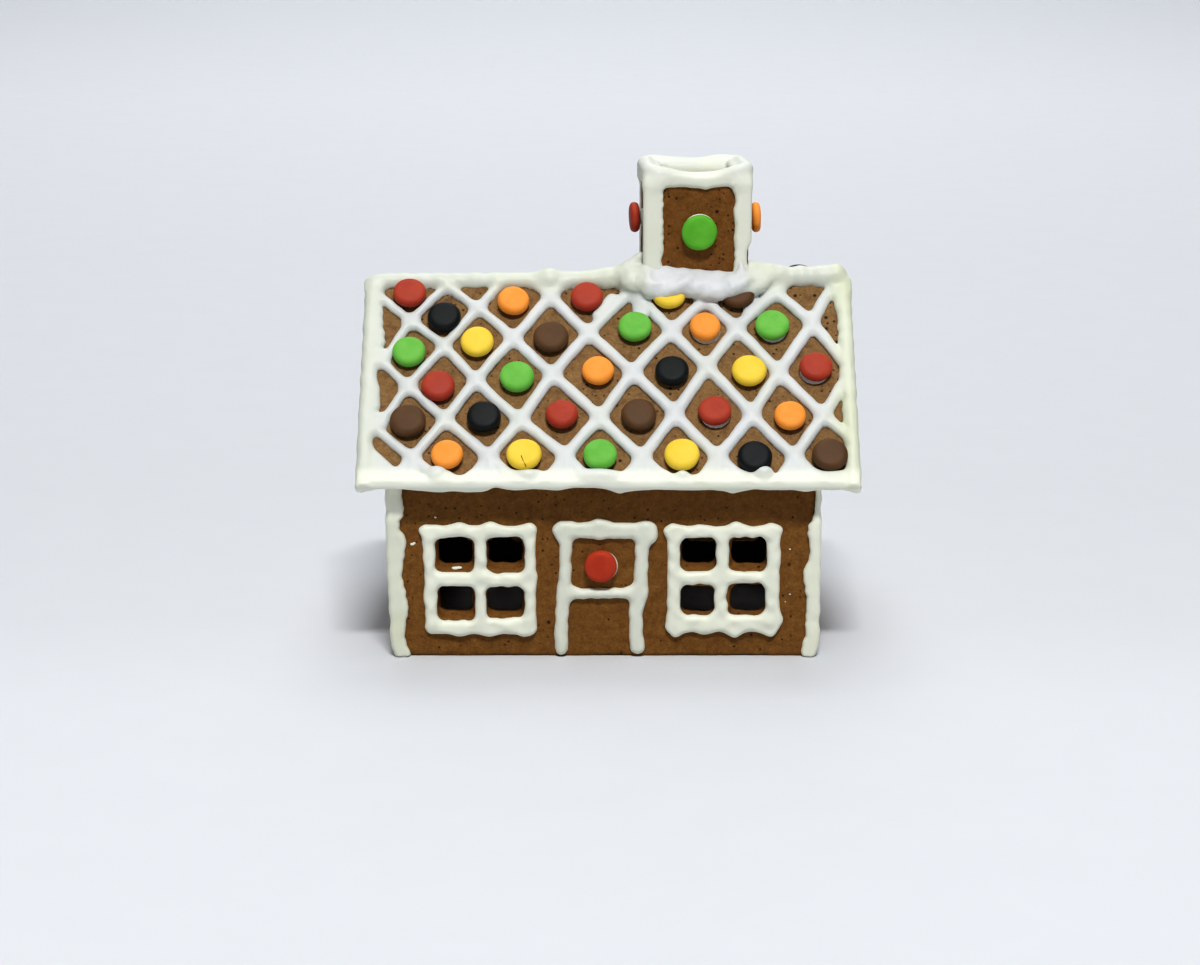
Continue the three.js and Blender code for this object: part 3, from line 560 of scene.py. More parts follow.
CANDY_TINTS = {
    "red": ((0.358, 0.043, 0.022), (0.409, 0.058, 0.029)),
    # The door's red is painted light: the red made brighter and deeper, because the door gets too
    # little light.
    "red_painted_light": ((0.430, 0.041, 0.016), (0.490, 0.054, 0.021)),
    "orange": ((0.855, 0.299, 0.043), (0.912, 0.342, 0.062)),
    "yellow": ((0.807, 0.570, 0.048), (0.855, 0.617, 0.076)),
    "green": ((0.133, 0.437, 0.057), (0.171, 0.494, 0.081)),
    "leaf": ((0.107, 0.417, 0.033), (0.139, 0.481, 0.048)),
    "black": ((0.006, 0.008, 0.008), (0.010, 0.012, 0.013)),
    "brown": ((0.090, 0.046, 0.018), (0.114, 0.057, 0.025)),
}


def candy_material(colour):
    """Sugar shell over chocolate: an even colour with faint clouds, dimples and a soft gloss."""
    material, tree, at = new_material("candy_" + colour)
    clouds = add_group(tree, GRAIN, at, Scale=1500.0, Roughness=0.5)
    surface(tree, Base_Color=ramp(tree, clouds["Patches"], CANDY_TINTS[colour]),
            Roughness=ramp(tree, clouds["Patches"], (0.50, 0.62), interpolation="LINEAR"),
            Normal=bump(tree, clouds["Grain"], 0.10, 0.0003), Specular_IOR_Level=0.16)
    return material


WALL_DOUGH = dough_material("wall_gingerbread", (
    (0.156, 0.0647, 0.0148), (0.1958, 0.0871, 0.0209), (0.2313, 0.1096, 0.0296)), 0.14)
# Painted light and painted sheen: the roof's dough is the walls' gingerbread in lighter, greyer
# tones, because the roof faces the lamp and shines. Its many pores are its own.
ROOF_DOUGH_PAINTED_LIGHT = dough_material("roof_gingerbread_painted_light", (
    (0.1593, 0.0837, 0.0315), (0.2304, 0.1314, 0.0522), (0.2745, 0.1656, 0.0711)), 0.38)
FLUE_DOUGH = dough_material("chimney_gingerbread", (
    (0.1426, 0.0572, 0.0119), (0.1868, 0.0788, 0.0189), (0.2236, 0.0972, 0.0259)), 0.32)
ICING = icing_material()
CANDIES = {colour: candy_material(colour) for colour in CANDY_TINTS}

# ------------------------------------------------------------------ dough

DOUGH_CELL = 0.8                        # grid of the dough's skins
PANEL_CELL = 0.6                        # grid of the chimney's panels
UNDERCUT = 3.0                          # the roof's lower edge is cut off from this far up


def baked(field, seed, *places):
    """Dough whose faces have risen a little unevenly: broad swells and small ones on the field."""
    return field + 0.22 * wobble(26, seed, *places) + 0.10 * wobble(5, seed + 1, *places)


def wall_field(side, x, y, z):
    """A long wall: a rounded slab less its panes, each a rounded hole that closes in inwards."""
    middle = (HOUSE_SHIFT, side * (WALL_Y - WALL_THICK / 2), WALL_TOP / 2)
    halves = ((HOUSE_RIGHT - HOUSE_LEFT) / 2, WALL_THICK / 2, WALL_TOP / 2)
    field = box((x, y, z), middle, halves, 1.0)
    share = (WALL_Y - side * y) / WALL_THICK
    half_width = PANE["width"] / 2 - PANE["side_taper"] * share
    half_height = (PANE["height"] - (PANE["sill_rise"] + PANE["head_drop"]) * share) / 2
    lift = (PANE["sill_rise"] - PANE["head_drop"]) / 2 * share
    for window in WINDOW_MIDDLES:
        for column in (-1, 1):
            for row in (-1, 1):
                a = -side * x - window - column * PANE["pitch"] / 2
                b = z - WINDOW_HEIGHT - row * PANE["pitch"] / 2 - lift
                hole = rounded((np.abs(a) - half_width, np.abs(b) - half_height), PANE["corner"])
                hole = hole + 0.25 * wobble(5, 74 + column + 3 * row, x, y, z)
                field = carve(field, hole, 0.8)
    return field


def make_wall(name, side, seed):
    """One long wall with its eight panes."""
    middle = side * (WALL_Y - WALL_THICK / 2)
    low = (HOUSE_LEFT - 1, middle - WALL_THICK / 2 - 1, -1)
    high = (HOUSE_RIGHT + 1, middle + WALL_THICK / 2 + 1, WALL_TOP + 1)
    x, y, z = grid(low, high, DOUGH_CELL)
    field = np.maximum(baked(wall_field(side, x, y, z), seed, x, y, z), -z)
    make_skin(name, field, low, DOUGH_CELL, WALL_DOUGH, "dough")


def make_gable(name, seed):
    """One gable end: a slab under the two slopes, with its edges rounded."""
    low, high = node_box(name)
    x, y, z = grid(low - 1, high + 1, DOUGH_CELL)
    field = box((x, y, z), (low + high) / 2, (high - low) / 2, 1.0)
    field = carve(field, -(over_roof(x, y, z) + ROOF_THICK + GAP), 0.8)
    field = np.maximum(baked(field, seed, x, y, z), -z)
    make_skin(name, field, low - 1, DOUGH_CELL, WALL_DOUGH, "dough")


def make_roof_panel(name, side, seed):
    """One roof panel, worked out flat and laid on its slope.

    A rounded slab whose upper edge is mitred at the apex and whose lower edge is cut off below.
    """
    low, high = (-ROOF_HALF - 1, -1.0, -ROOF_THICK - 1), (ROOF_HALF + 1, RUN + 1, 1.0)
    a, s, h = grid(low, high, DOUGH_CELL)
    field = box((a, s, h), (0, RUN / 2 - ROOF_THICK, -ROOF_THICK / 2),
                (ROOF_HALF, RUN / 2 + ROOF_THICK, ROOF_THICK / 2), 1.2)
    field = shared(baked(field, seed, a, s, h), GAP / 2 - ROOT_HALF * (s + h),
                   ROOT_HALF * (s - RUN - h - UNDERCUT))
    make_skin(name, field, low, DOUGH_CELL, ROOF_DOUGH_PAINTED_LIGHT, "dough",
              lambda a, s, h: on_slope(side, a, s, h))


def make_chimney_panels():
    """Four panels round the flue, each cut off where it meets the roof."""
    w, d, t = CHIMNEY["width"] / 2, CHIMNEY["depth"] / 2, CHIMNEY["thick"]
    panels = {"front": ((-w, -d), (w, -d + t)), "back": ((-w, d - t), (w, d)),
              "left": ((-w, -d + t + GAP), (-w + t, d - t - GAP)),
              "right": ((w - t, -d + t + GAP), (w, d - t - GAP))}
    for i, (side, (near, far)) in enumerate(panels.items()):
        name = "chimney_" + side
        foot, head = np.array((*near, 0)), np.array((*far, CHIMNEY["top"]))
        low = np.array((*near, node_box(name)[0][2])) - 1
        a, b, z = grid(low, head + 1, PANEL_CELL)
        field = box((a, b, z), (foot + head) / 2, (head - foot) / 2, 0.8)
        field = np.maximum(baked(field, 60 + i, a, b, z), GAP - over_roof(*chimney_place(a, b, z)))
        make_skin(name, field, low, PANEL_CELL, FLUE_DOUGH, "dough", chimney_place)


# ------------------------------------------------------------------ icing: what all of it shares

SUNK = 0.3                              # icing reaches this far into what it lies on


def piped(plan, up, soft, height):
    """Strand with a half-round section on a face.

    plan is the distance from its outline seen from above, negative inside. The section is an
    ellipse soft wide and height high at its edges, and flat further in.
    """
    across = np.maximum(plan + soft, 0) / soft
    return np.minimum(soft, height) * (np.sqrt(across ** 2 + (np.maximum(up, 0) / height) ** 2) - 1)


def strand(p, q, line):
    """Outline of a strand seen from above: line holds places and half widths along its middle.

    Each span is a straight bar whose half width goes evenly from end to end.
    """
    field = np.full(np.broadcast(p, q).shape, 99.0)
    for (p0, q0, half0), (p1, q1, half1) in zip(line[:-1], line[1:]):
        field = np.minimum(field, capsule((p, q), (p0, q0), (p1, q1), half0, half1))
    return field


def make_icing(name, field, low, cell, spot=None, cream=0, frost=0, painted_light=0):
    """The skin of an icing field as a piece, moved by spot.

    cream and frost say how creamy and frosted it is, and the third share is painted light: how
    much brighter it is made where it gets too little light. Each is a number, or a function of the
    place.
    """
    piece, points = make_skin(name, field, low, cell, ICING, "icing", spot)
    for tint, share in (("cream", cream), ("frost", frost), ("painted_light", painted_light)):
        values = share(*points.T) if callable(share) else np.full(len(points), share)
        attribute = piece.data.attributes.new(tint, "FLOAT", "POINT")
        attribute.data.foreach_set("value", np.clip(values, 0, 1).astype(np.float32))


# ------------------------------------------------------------------ icing on the roof

ICING_CELL = 0.56                       # grid of the roof icing's skins
MAP_CELL = 0.5                          # grid of the lattice seen square to the slope
STRAND_HALF = {"thin": 1.9, "full": 2.45}
STRAND_HEIGHT = 2.0

# Fuller places of the lattice: across, down and radius of rounds, and bars from place to place.
WEBS = ((-85.0, 34.0, 3.5), (-85.0, 62.5, 4.0), (-74.3, 18.2, 3.3), (-74.3, 47.6, 3.2))
WEB_BARS = (((-93, 75), (-80, 88.5), 5.9), ((-3.9, 15.0), (1.5, 7.2), 2.2))

# Drips and bays of the eave's lower edge, as places across and how far they hang.
EAVE_DRIPS = (
    (-90, -0.3), (-86, -0.3), (-80, -0.7), (-75, -0.6), (-70, 0.0), (-64, 0.9), (-60, 1.0),
    (-57, 0.4), (-52, 1.0), (-46, 0.8), (-44, 0.1), (-42.5, -1.0), (-41, -1.4), (-37, -0.5),
    (-34, 0.0), (-27, -0.7), (-18, 0.0), (-12, -1.4), (-6, -1.4), (-2, -0.9), (0, -0.3),
    (3, 1.3), (4.5, 1.6), (6.5, 0.8), (10, 0.2), (17, -0.5), (30, 0.0), (38, -0.3), (42, 0.4),
    (45.3, 1.6), (48, 0.8), (53, -0.7), (59, -0.1), (67, -0.3), (72, 0.8), (76, -0.1), (90, -0.4))

# Bays of its upper edge, as places across and how far they reach down.
EAVE_BAYS = ((-66, 2.4), (-56, 2.6), (4, 0.8), (27, 2.4), (34, 1.6), (57, 1.6), (63, 1.8))

# How far the icing on the two sloping edges reaches inwards, from the ridge down.
RAKE_REACH = {
    "left": ((0, 3.4), (10, 3.0), (20, 3.6), (27, 4.9), (34, 3.2), (41.5, 1.3), (45, 2.4),
             (49, 3.8), (57, 3.8), (64, 1.6), (70, 0.8), (80, 1.5), (89, 1.5)),
    "right": ((0, 3.9), (6, 3.7), (11, 2.4), (15, 1.0), (26, 1.1), (38, 1.5), (45, 1.2),
              (51, 0.6), (58, 0.6), (67, 0.2), (76, 0.5), (89, 0.9))}

# Smears and crumbs of icing by the candies of the front: across, down, out, and half axes.
DABS = ((-62.3, 85.2, 2.0, 3.4, 2.6, 2.0), (-60.6, 86.2, 1.2, 4.0, 2.6, 1.8),
        (56.6, 85.2, 1.9, 3.4, 2.4, 2.6), (-3.0, 86.4, 1.5, 7.4, 2.6, 2.7),
        (-29.2, 86.0, 1.7, 3.4, 1.8, 2.2), (27.0, 85.9, 1.5, 2.2, 1.5, 1.9),
        (-68.6, 5.5, 0.6, 0.9, 0.7, 0.6))

# Thin icing that shows as a crescent under a candy, as flat lenses: across, down and radius.
CRESCENTS = [(across, down, 0.2, radius, radius, 0.8) for across, down, radius in (
    (36.8, 22.3, 5.6), (61.9, 21.9, 5.3), (76.8, 40.3, 5.6), (39.6, 59.6, 5.6))]

COLLAR_ASIDE = 21.5                     # no lattice nearer to the chimney's middle than this
COLLAR_DOWN = 41                        # nor up the back slope from here

# The ridge strand, by places across: its height, how far back it lies, its radius and lumps.
RIDGE = {"height": ((-92, 130.9), (-10, 131.3), (10, 132.3), (17, 130.6), (50, 130.2),
                    (61, 132.5), (70, 132.8), (82, 132.5), (88, 133.5), (92, 133.3)),
         "back": ((-92, 1.3), (10, 1.7), (60, 2.2), (92, 2.2)),
         "radius": ((-92, 3.5), (-30, 3.5), (10, 4.2), (92, 4.4)),
         "lumps": ((-22, 1.5), (-3, 0.6), (84, 0.5))}
RIDGE_DOWN = 8.0                        # how far down the slopes the ridge's piece reaches

HEAP = {"left": 3, "right": 62, "down": 14.5, "balls": 18}

# Lower edge of the heap: places across, and how far down the front slope it reaches.
HEAP_FOOT = ((3, 3.0), (8, 5.0), (12, 6.0), (16, 8.3), (18.5, 9.2), (21, 8.6), (24, 7.6),
             (28.6, 7.6), (31.7, 7.5), (35, 8.3), (39, 9.3), (42, 9.8), (46, 8.6), (50, 7.7),
             (54, 5.9), (57, 4.8), (60, 2.4))

# Height of the heap's upper row of balls, by places across.
HEAP_CREST = ((8, 133.2), (20, 133.5), (27, 133.4), (33, 131.9), (40, 131.4), (46, 130.9),
              (58, 131.6))

# Drifts of the heap up the chimney's corners: foot, head, their radii, and how soft they join.
DRIFTS = (((4.5, 1.0, 134.2), (12.6, 2.2, 141.0), 2.8, 1.5, 2.4),
          ((61.0, 1.6, 134.5), (54.0, 2.2, 137.5), 2.8, 1.5, 2.4),
          ((14.6, -3.4, 133.0), (15.6, -2.2, 142.0), 2.7, 0.9, 2.0),
          ((50.6, -3.4, 132.0), (50.0, -2.2, 139.0), 2.7, 0.9, 2.0))


def lattice_strands():
    """The middle lines of the strands: eight that run down to the right and eight to the left.

    Each goes from crossing to crossing, smoothed, with a small wander of the hand. Their third
    numbers are half widths of 0.
    """
    lines = []
    for lean in (1, -1):
        for j in range(LATTICE["strands"]):
            start = j - 2 if lean > 0 else j
            line = smooth_line([crossing(level, start + lean * (level - FIRST_LEVEL) / 2)
                                for level in range(len(LATTICE_LEVELS))], 5)
            steps = np.arange(len(line))
            for axis in (0, 1):
                line[:, axis] += 0.22 * wobble(12, 4 * j + lean + axis + 1, steps)
            lines.append(np.column_stack([line, np.zeros(len(line))]))
    return lines


def lattice_maps(a, s):
    """The lattice seen square to the slope: its outline, and its height above the dough.

    Strands are slim at the upper left and full from the middle on, and higher where two cross.
    """
    thin, full = STRAND_HALF["thin"], STRAND_HALF["full"]
    half = thin + (full - thin) * rise(a + 0.5 * s, -70, 0) + 0.12 * wobble(14, 5, a, s)
    near, next_one = np.sort([strand(a, s, line) - half for line in lattice_strands()], axis=0)[:2]
    plan = melt(near, next_one, 2.8) + 0.05 * wobble(5, 6, a, s)
    for column in range(-1, LATTICE["strands"]):
        across, down = crossing(5, column)
        plan = melt(plan, np.hypot(a - across, 0.7 * (s - down - 4.5)) - 2.6, 2.0)
    for start, end, radius in WEB_BARS:
        plan = melt(plan, capsule((a, s), start, end, radius, radius), 2.0)
    for across, down, radius in WEBS:
        plan = melt(plan, np.hypot(a - across, s - down) - radius, 2.0)
    tall = STRAND_HEIGHT + 0.45 * np.exp(-(np.maximum(next_one + half, 0) / 2.2) ** 2)
    return plan, tall + 0.12 * wobble(9, 7, a, s)


def edge_bar(over, along, h, inner, end, body, thick=0):
    """Icing on an edge of the roof: a bar on top of the dough's edge, melted into one that rounds
    the corner and thins as it hangs down the side.

    over is the distance past the edge. The bars reach inner inwards and down to h = end, and the
    hanging one is body in radius at its top, and thicker by thick.
    """
    top = bar(over, -inner, -0.6, h - 0.2, 1.85 + 0.1 * wobble(9, 35, along))
    fall = np.clip((-1.2 - h) / 2.6, 0, 1) * (body - 1.7)
    middle = 2.0 - body + 1.14 * fall
    return melt(top, bar(h, end, -0.9, over - middle, body - fall + thick), 2.4)


def rake_bars(a, s, h):
    """Icing on the two sloping edges, uneven along them."""
    along = s + np.where(a > 0, 331, 0)
    inner = np.where(a > 0, *(through(s, RAKE_REACH[edge], 2) for edge in ("right", "left")))
    field = edge_bar(np.abs(a) - ROOF_HALF, along, h, inner + 0.3 * wobble(6, 31, along),
                     -2.5 - 0.7 * wobble(10, 33, along), 2.75, 0.26 * wobble(11, 36, along))
    return shared(field, s - RUN - 1.6, -1 - s)


def eave_bar(a, s, h):
    """Icing on the lower edge, with its drips."""
    inner = 3.6 - lumps(a, EAVE_BAYS, 4.5) + 0.35 * wobble(9, 21, a)
    hang = through(a, EAVE_DRIPS, 0.8)
    field = edge_bar(s - RUN, a, h, inner, -0.1 - 1.85 * hang, 2.2 + 0.35 * np.minimum(hang, 0))
    return np.maximum(field, np.abs(a) - ROOF_HALF - 1.2)


def slope_icing(side, a, s, h, maps):
    """All that lies on one slope: the lattice, cut off at the edges and, on the back, round the
    chimney, whose sides and back have strands of their own."""
    plan, tall = maps
    field = shared(piped(plan, h, 2.1, tall), np.abs(a) - ROOF_HALF, s - RUN, 0.8 - s)
    if side > 0:
        room = np.maximum(np.abs(a + CHIMNEY["middle"]) - COLLAR_ASIDE, s - COLLAR_DOWN)
        field = carve(field, room, 1.0)
        field = melt(field, collar_icing(a, s, h), 1.2)
    return melt(field, rake_bars(a, s, h), 1.2)


def collar_icing(a, s, h):
    """Strands on the back slope along the chimney's two sides and its back."""
    reach = CHIMNEY["width"] / 2 + 1.4
    foot = (CHIMNEY_BACK + 1.2) / ROOT_HALF
    left, right = -CHIMNEY["middle"] - reach, -CHIMNEY["middle"] + reach
    line = ((left, 2, 3.4), (left, foot, 3.6), (right, foot, 3.3), (right, 2, 3.5))
    return piped(strand(a, s, line) + 0.35 * wobble(8, 51, a, s), h, 3.2, 3.2)


def ridge_strand(x, y, z):
    """A thick strand along the ridge: its middle line climbs to the right, with a few lumps."""
    height, back = through(x, RIDGE["height"], 2), through(x, RIDGE["back"], 4)
    radius = through(x, RIDGE["radius"], 8)
    radius = radius + 0.25 * wobble(10, 41, x) + lumps(x, RIDGE["lumps"], 4)
    past = np.maximum(np.abs(x) - ROOF_HALF + 3.4, 0)
    return np.sqrt((y - back) ** 2 + (z - height) ** 2 + 0.9 * past ** 2) - radius


def snow_heap(x, y, z):
    """The snow-like heap: three rows of uneven balls at the chimney's foot, melted together, with
    drifts up its corners. Its lowest row lies on the candies, and its surface is lumpy."""
    rng = np.random.default_rng(8)
    field = np.full(np.broadcast(x, y, z).shape, 50.0)
    for middle in np.linspace(8, 58, HEAP["balls"]):
        thin = middle < 13 or middle > 54
        size = rng.uniform(2.2, 2.8) * (0.8 if thin else 1)
        foot = through(middle, HEAP_FOOT)
        for down, out, ball in ((foot - 0.9 * size, rng.uniform(3.4, 4.4) - 0.8 * thin, size),
                                (foot / 2 - 0.6, rng.uniform(3.6, 4.6) - 0.8 * thin, 1.15 * size)):
            place = (middle, *on_slope(-1, 0, max(down, 0.6), out)[1:])
            field = melt(field, ellipsoid((x, y, z), place, (ball, ball, ball)), 3.0)
        high = (middle + rng.uniform(-1.5, 1.5), -2.6 + rng.uniform(-0.5, 0.5),
                through(middle, HEAP_CREST) + rng.uniform(-0.4, 0.4))
        field = melt(field, ellipsoid((x, y, z), high, (3.2, 2.8, 3.2)), 3.0)
    for foot, head, foot_radius, head_radius, soft in DRIFTS:
        field = melt(field, capsule((x, y, z), foot, head, foot_radius, head_radius), soft)
    return field + 0.10 * wobble(3.8, 42, x, y, z) + 0.30 * wobble(8, 43, x, y, z)


def ridge_icing(x, y, z):
    """Ridge strand and heap, melted together."""
    return melt(ridge_strand(x, y, z), snow_heap(x, y, z), 5.0)


def chimney_room(x, y, z):
    """The chimney's outer box, less a little that icing sinks into its panels."""
    a, b = in_chimney(x, y, z)[:2]
    return np.maximum(np.abs(a) - CHIMNEY["width"] / 2, np.abs(b) - CHIMNEY["depth"] / 2) + SUNK


def border(side, x):
    """How far down a slope the ridge's piece meets the slope's own: lower round the heap."""
    heap = rise(x, HEAP["left"] - 8, HEAP["left"]) * (1 - rise(x, HEAP["right"], HEAP["right"] + 8))
    return RIDGE_DOWN + (HEAP["down"] - RIDGE_DOWN) * heap * (side < 0)


def end_under(field, past):
    """Ends a piece under its neighbour: past the border it sinks by 0.16 times the square."""
    return np.maximum(field + 0.16 * np.maximum(past, 0) ** 2, past - 2.6)


def frost_of(x, y, z):
    """How frosted roof icing is: only the heap before the chimney is."""
    across = rise(x, 11, 19) * (1 - rise(x, 48, 56))
    down, foot = ROOT_HALF * (APEX - y - z), through(x, HEAP_FOOT)
    return across * (y < 4) * (1 - rise(down, foot - 1, foot + 1.5))


def cream_of(x, y, z):
    """How creamy roof icing is: least on the lattice, and most at the right edge."""
    down = np.minimum(APEX - z, 70) * 1.4
    edge = np.maximum(rise(np.abs(x), 78, 89), 0.4 * rise(down, 80, 88))
    return (0.12 + np.maximum(edge * (0.45 + 0.38 * rise(x, 0, 60)), 0.45 * rise(z, 126, 131))
            + 0.10 * wobble(30, 55, x, y))


def painted_light_of(x, y, z):
    """Painted light on roof icing: only the outer face of the eave's, which turns down and away
    from the lamp, is made brighter, which z alone tells.
    """
    return 0.6 * rise(APEX - z, 56.5, 59.5)


def make_slope_icing(name, side):
    """Icing of one slope, worked out flat and then laid on it.

    What lies on the slope, melted into the eave's and the ridge's icing, less the chimney, the
    dough and what the ridge's own piece shows.
    """
    low, high = (-ROOF_HALF - 4, 3.0, -6.5), (ROOF_HALF + 4, RUN + 4, 6.5)
    a, s, h = grid(low, high, ICING_CELL)
    maps = [values[..., None] for values in lattice_maps(a[..., 0], s[..., 0])]
    field = melt(slope_icing(side, a, s, h, maps), eave_bar(a, s, h), 1.5)
    if side < 0:
        field = np.minimum(melt(field, blobs((a, s, h), DABS), 1.8), blobs((a, s, h), CRESCENTS))
    x, y, z = on_slope(side, a, s, h)
    head = slice(0, int(17 / ICING_CELL))
    field[:, head] = melt(field[:, head], ridge_icing(x, y[:, head], z[:, head]), 1.8)
    dough = shared(np.abs(a) - ROOF_HALF, s - RUN, h)
    field = shared(field, -chimney_room(x, y, z), -SUNK - dough)
    make_icing(name, end_under(field, border(side, x) - s), low, ICING_CELL,
               lambda a, s, h: on_slope(side, a, s, h), cream_of, frost_of, painted_light_of)


def sample(values, low, cell, p, q):
    """Bilinear reading of a grid of values at any places."""
    i = np.clip((p - low[0]) / cell, 0, values.shape[0] - 1.001)
    j = np.clip((q - low[1]) / cell, 0, values.shape[1] - 1.001)
    i0, j0 = i.astype(int), j.astype(int)
    u, v = i - i0, j - j0
    return ((1 - u) * (1 - v) * values[i0, j0] + u * (1 - v) * values[i0 + 1, j0]
            + (1 - u) * v * values[i0, j0 + 1] + u * v * values[i0 + 1, j0 + 1])


def make_ridge_icing():
    """The ridge strand and the heap, with the upper ends of what lies on both slopes."""
    low, high = (-ROOF_HALF - 5, -14.0, 116.0), (ROOF_HALF + 5, 12.0, 147.0)
    x, y, z = grid(low, high, ICING_CELL)
    field = ridge_icing(x, y, z)
    corner = (-ROOF_HALF - 6, -12)
    maps = lattice_maps(*grid(corner, (ROOF_HALF + 6, 24), MAP_CELL))
    for side in (-1, 1):
        a, s, h = slope_place(side, x, y, z)
        own = [sample(values, corner, MAP_CELL, a, s) for values in maps]
        field = melt(field, slope_icing(side, a, s, h, own), 1.8)
    dough = np.maximum(np.abs(x) - ROOF_HALF, over_roof(x, y, z))
    field = shared(field, -SUNK - dough, -chimney_room(x, y, z))
    for side in (-1, 1):
        field = end_under(field, slope_place(side, x, y, z)[1] - border(side, x))
    make_icing("icing_ridge", field, low, ICING_CELL, cream=cream_of, frost=frost_of)


# ------------------------------------------------------------------ icing on the walls

PIPING_CELL = 0.36                      # grid of the skins of windows and door
GABLE_CELL = 0.6                        # grid of the skins of the gables' icing
GABLE_FACE = {-1: -HOUSE_LEFT, 1: HOUSE_RIGHT}  # how far out each gable's outer face is
BACK_SILL = 17.4                        # no pane of the back windows opens below this

# Each window frame: its four outer edges, with bumps as places along them and how far they stand
# out, and its four openings as left, right, bottom and top.
FRAMES = {
    "1": {"left": (-67.9, ((49.5, 2.2), (44, 0.6), (38, 0.5), (23, 0.5))),
          "right": (-26.7, ((50, 0.7), (30, 0.5), (12, 0.4))),
          "bottom": (8.7, ((-55, 1.1), (-44, 1.1), (-31, 1.1))),
          "top": (50.2, ((-66, 0.6), (-55, 1.4), (-43.5, 1.7), (-29, 1.2))),
          "panes": ((-63.9, -49.5, 32.5, 45.8), (-44.9, -30.8, 32.3, 46.0),
                    (-63.2, -49.3, 13.9, 27.2), (-45.2, -31.0, 14.8, 26.9))},
    "2": {"left": (21.8, ((49, 1.6), (12, 0.8))),
          "right": (63.4, ((50, 1.2), (38, 0.4), (14.6, 1.5))),
          "bottom": (9.6, ((25, 2.0), (36, 1.2), (47.0, 2.3), (60, 2.0))),
          "top": (50.0, ((24, 1.2), (34, 0.8), (47.2, 2.0), (60, 1.5))),
          "panes": ((26.5, 39.8, 32.8, 45.7), (44.5, 58.6, 32.8, 45.9),
                    (26.9, 39.4, 16.0, 27.8), (44.1, 58.0, 16.0, 28.3))}}

# Small spatters on the front wall: across, up and radius.
SPATTERS = [(across, 0, up, 1.3 * size, 0.7 * size, size) for across, up, size in (
    (-63.6, 53.4, 0.45), (-72.3, 43.1, 0.65), (-71.4, 43.5, 0.55), (67.0, 41.2, 0.38),
    (67.3, 23.9, 0.36), (66.2, 27.0, 0.25), (65.6, 21.0, 0.28))]

# Crumbs of icing on the sill of one pane: across, up and radius.
SILL_CRUMBS = [(across, -1.3, up, 1.5 * size, size, 0.6 * size) for across, up, size in (
    (-56.6, 33.6, 1.0), (-55.2, 33.8, 0.9))]

# The door's strands, each a line of places across, heights and half widths.
DOOR_STRANDS = (
    ((-17.4, 48.6, 2.2), (-13.0, 48.6, 2.9), (-3.0, 48.4, 3.3), (6.0, 48.4, 3.0),
     (14.2, 48.2, 3.0)),
    ((-16.6, 48.5, 3.0), (-15.6, 43.0, 2.4), (-15.8, 36.0, 2.25), (-16.0, 29.7, 2.4),
     (-16.6, 22.1, 2.5), (-17.3, 14.4, 2.5), (-17.5, 6.7, 2.6), (-17.2, 3.0, 2.4)),
    ((13.8, 47.8, 3.0), (12.5, 42.0, 2.6), (12.2, 33.5, 2.55), (11.9, 28.5, 2.7),
     (10.9, 22.1, 2.9), (10.3, 15.5, 2.6), (10.3, 9.8, 2.6), (10.8, 3.6, 2.8)),
    ((-15.8, 24.3, 2.1), (-3.0, 24.4, 2.0), (6.0, 24.6, 2.0), (11.4, 24.8, 2.6)),
    ((-3.4, 49.8, 2.2), (-2.4, 49.9, 2.2)), ((14.2, 48.0, 2.6), (15.6, 46.8, 2.0)))

# Inner edge of the icing up the two front corners: heights, and how far it reaches inwards.
CORNER_REACH = {
    -1: ((0.4, 6.3), (6.2, 4.0), (12, 4.3), (18, 5.7), (25.6, 4.5), (31.3, 3.3), (37, 4.1),
         (45.5, 5.6), (48.6, 2.5), (52, 3.1), (55, 4.6), (64.5, 3.7)),
    1: ((0.4, 4.1), (3.1, 4.5), (9.3, 2.6), (12, 3.2), (21.7, 2.6), (25.6, 3.3), (32.1, 4.5),
        (39, 1.5), (49.3, 2.9), (51.6, 2.2), (56.2, 0.3), (63.7, 0.0))}


def frame_plan(p, z, sizes, least):
    """Outline of a window frame: a box with round corners and bumps on its edges, less its panes,
    none of which opens below least."""
    past = []
    for lower, upper, place, along in (("left", "right", p, z), ("bottom", "top", z, p)):
        (start, start_bumps), (end, end_bumps) = sizes[lower], sizes[upper]
        past.append(np.maximum(start - lumps(along, start_bumps, 3.2) - place,
                               place - end - lumps(along, end_bumps, 3.2)))
    plan = rounded(past, 2.6)
    for left, right, bottom, top in sizes["panes"]:
        bottom = max(bottom, least)
        middle, halves = ((left + right) / 2, (bottom + top) / 2), (right - left, top - bottom)
        hole = box((p, z), middle, np.array(halves) / 2, 3.0)
        plan = np.maximum(plan, -hole - 0.22 * wobble(7, int(left + 90), p, z))
    return plan + 0.12 * wobble(6, 80, p, z)


def make_frame(name, side, key):
    """A window frame on the front wall, or its like on the back wall, turned round."""
    sizes = FRAMES[key]
    low = np.array((sizes["left"][0] - 6, -3.2, 5))
    p, up, z = grid(low, (sizes["right"][0] + 6, 3.4, 56), PIPING_CELL)
    field = piped(frame_plan(p, z, sizes, BACK_SILL if side > 0 else 0), up, 2.3,
                  2.25 + 0.22 * wobble(8, 81, p, z))
    if side < 0:
        field = np.minimum(field, blobs((p, up, z), SPATTERS))
    field = np.maximum(field, -SUNK - up)
    if side < 0 and key == "1":
        field = np.minimum(field, blobs((p, up, z), SILL_CRUMBS))
    # The last share is painted light: the frame's icing is made brighter because the wall gets too
    # little light.
    make_icing(name, field, low, PIPING_CELL,
               lambda p, up, z: (-side * p, side * (WALL_Y + up), z), 0.6, painted_light=0.75)


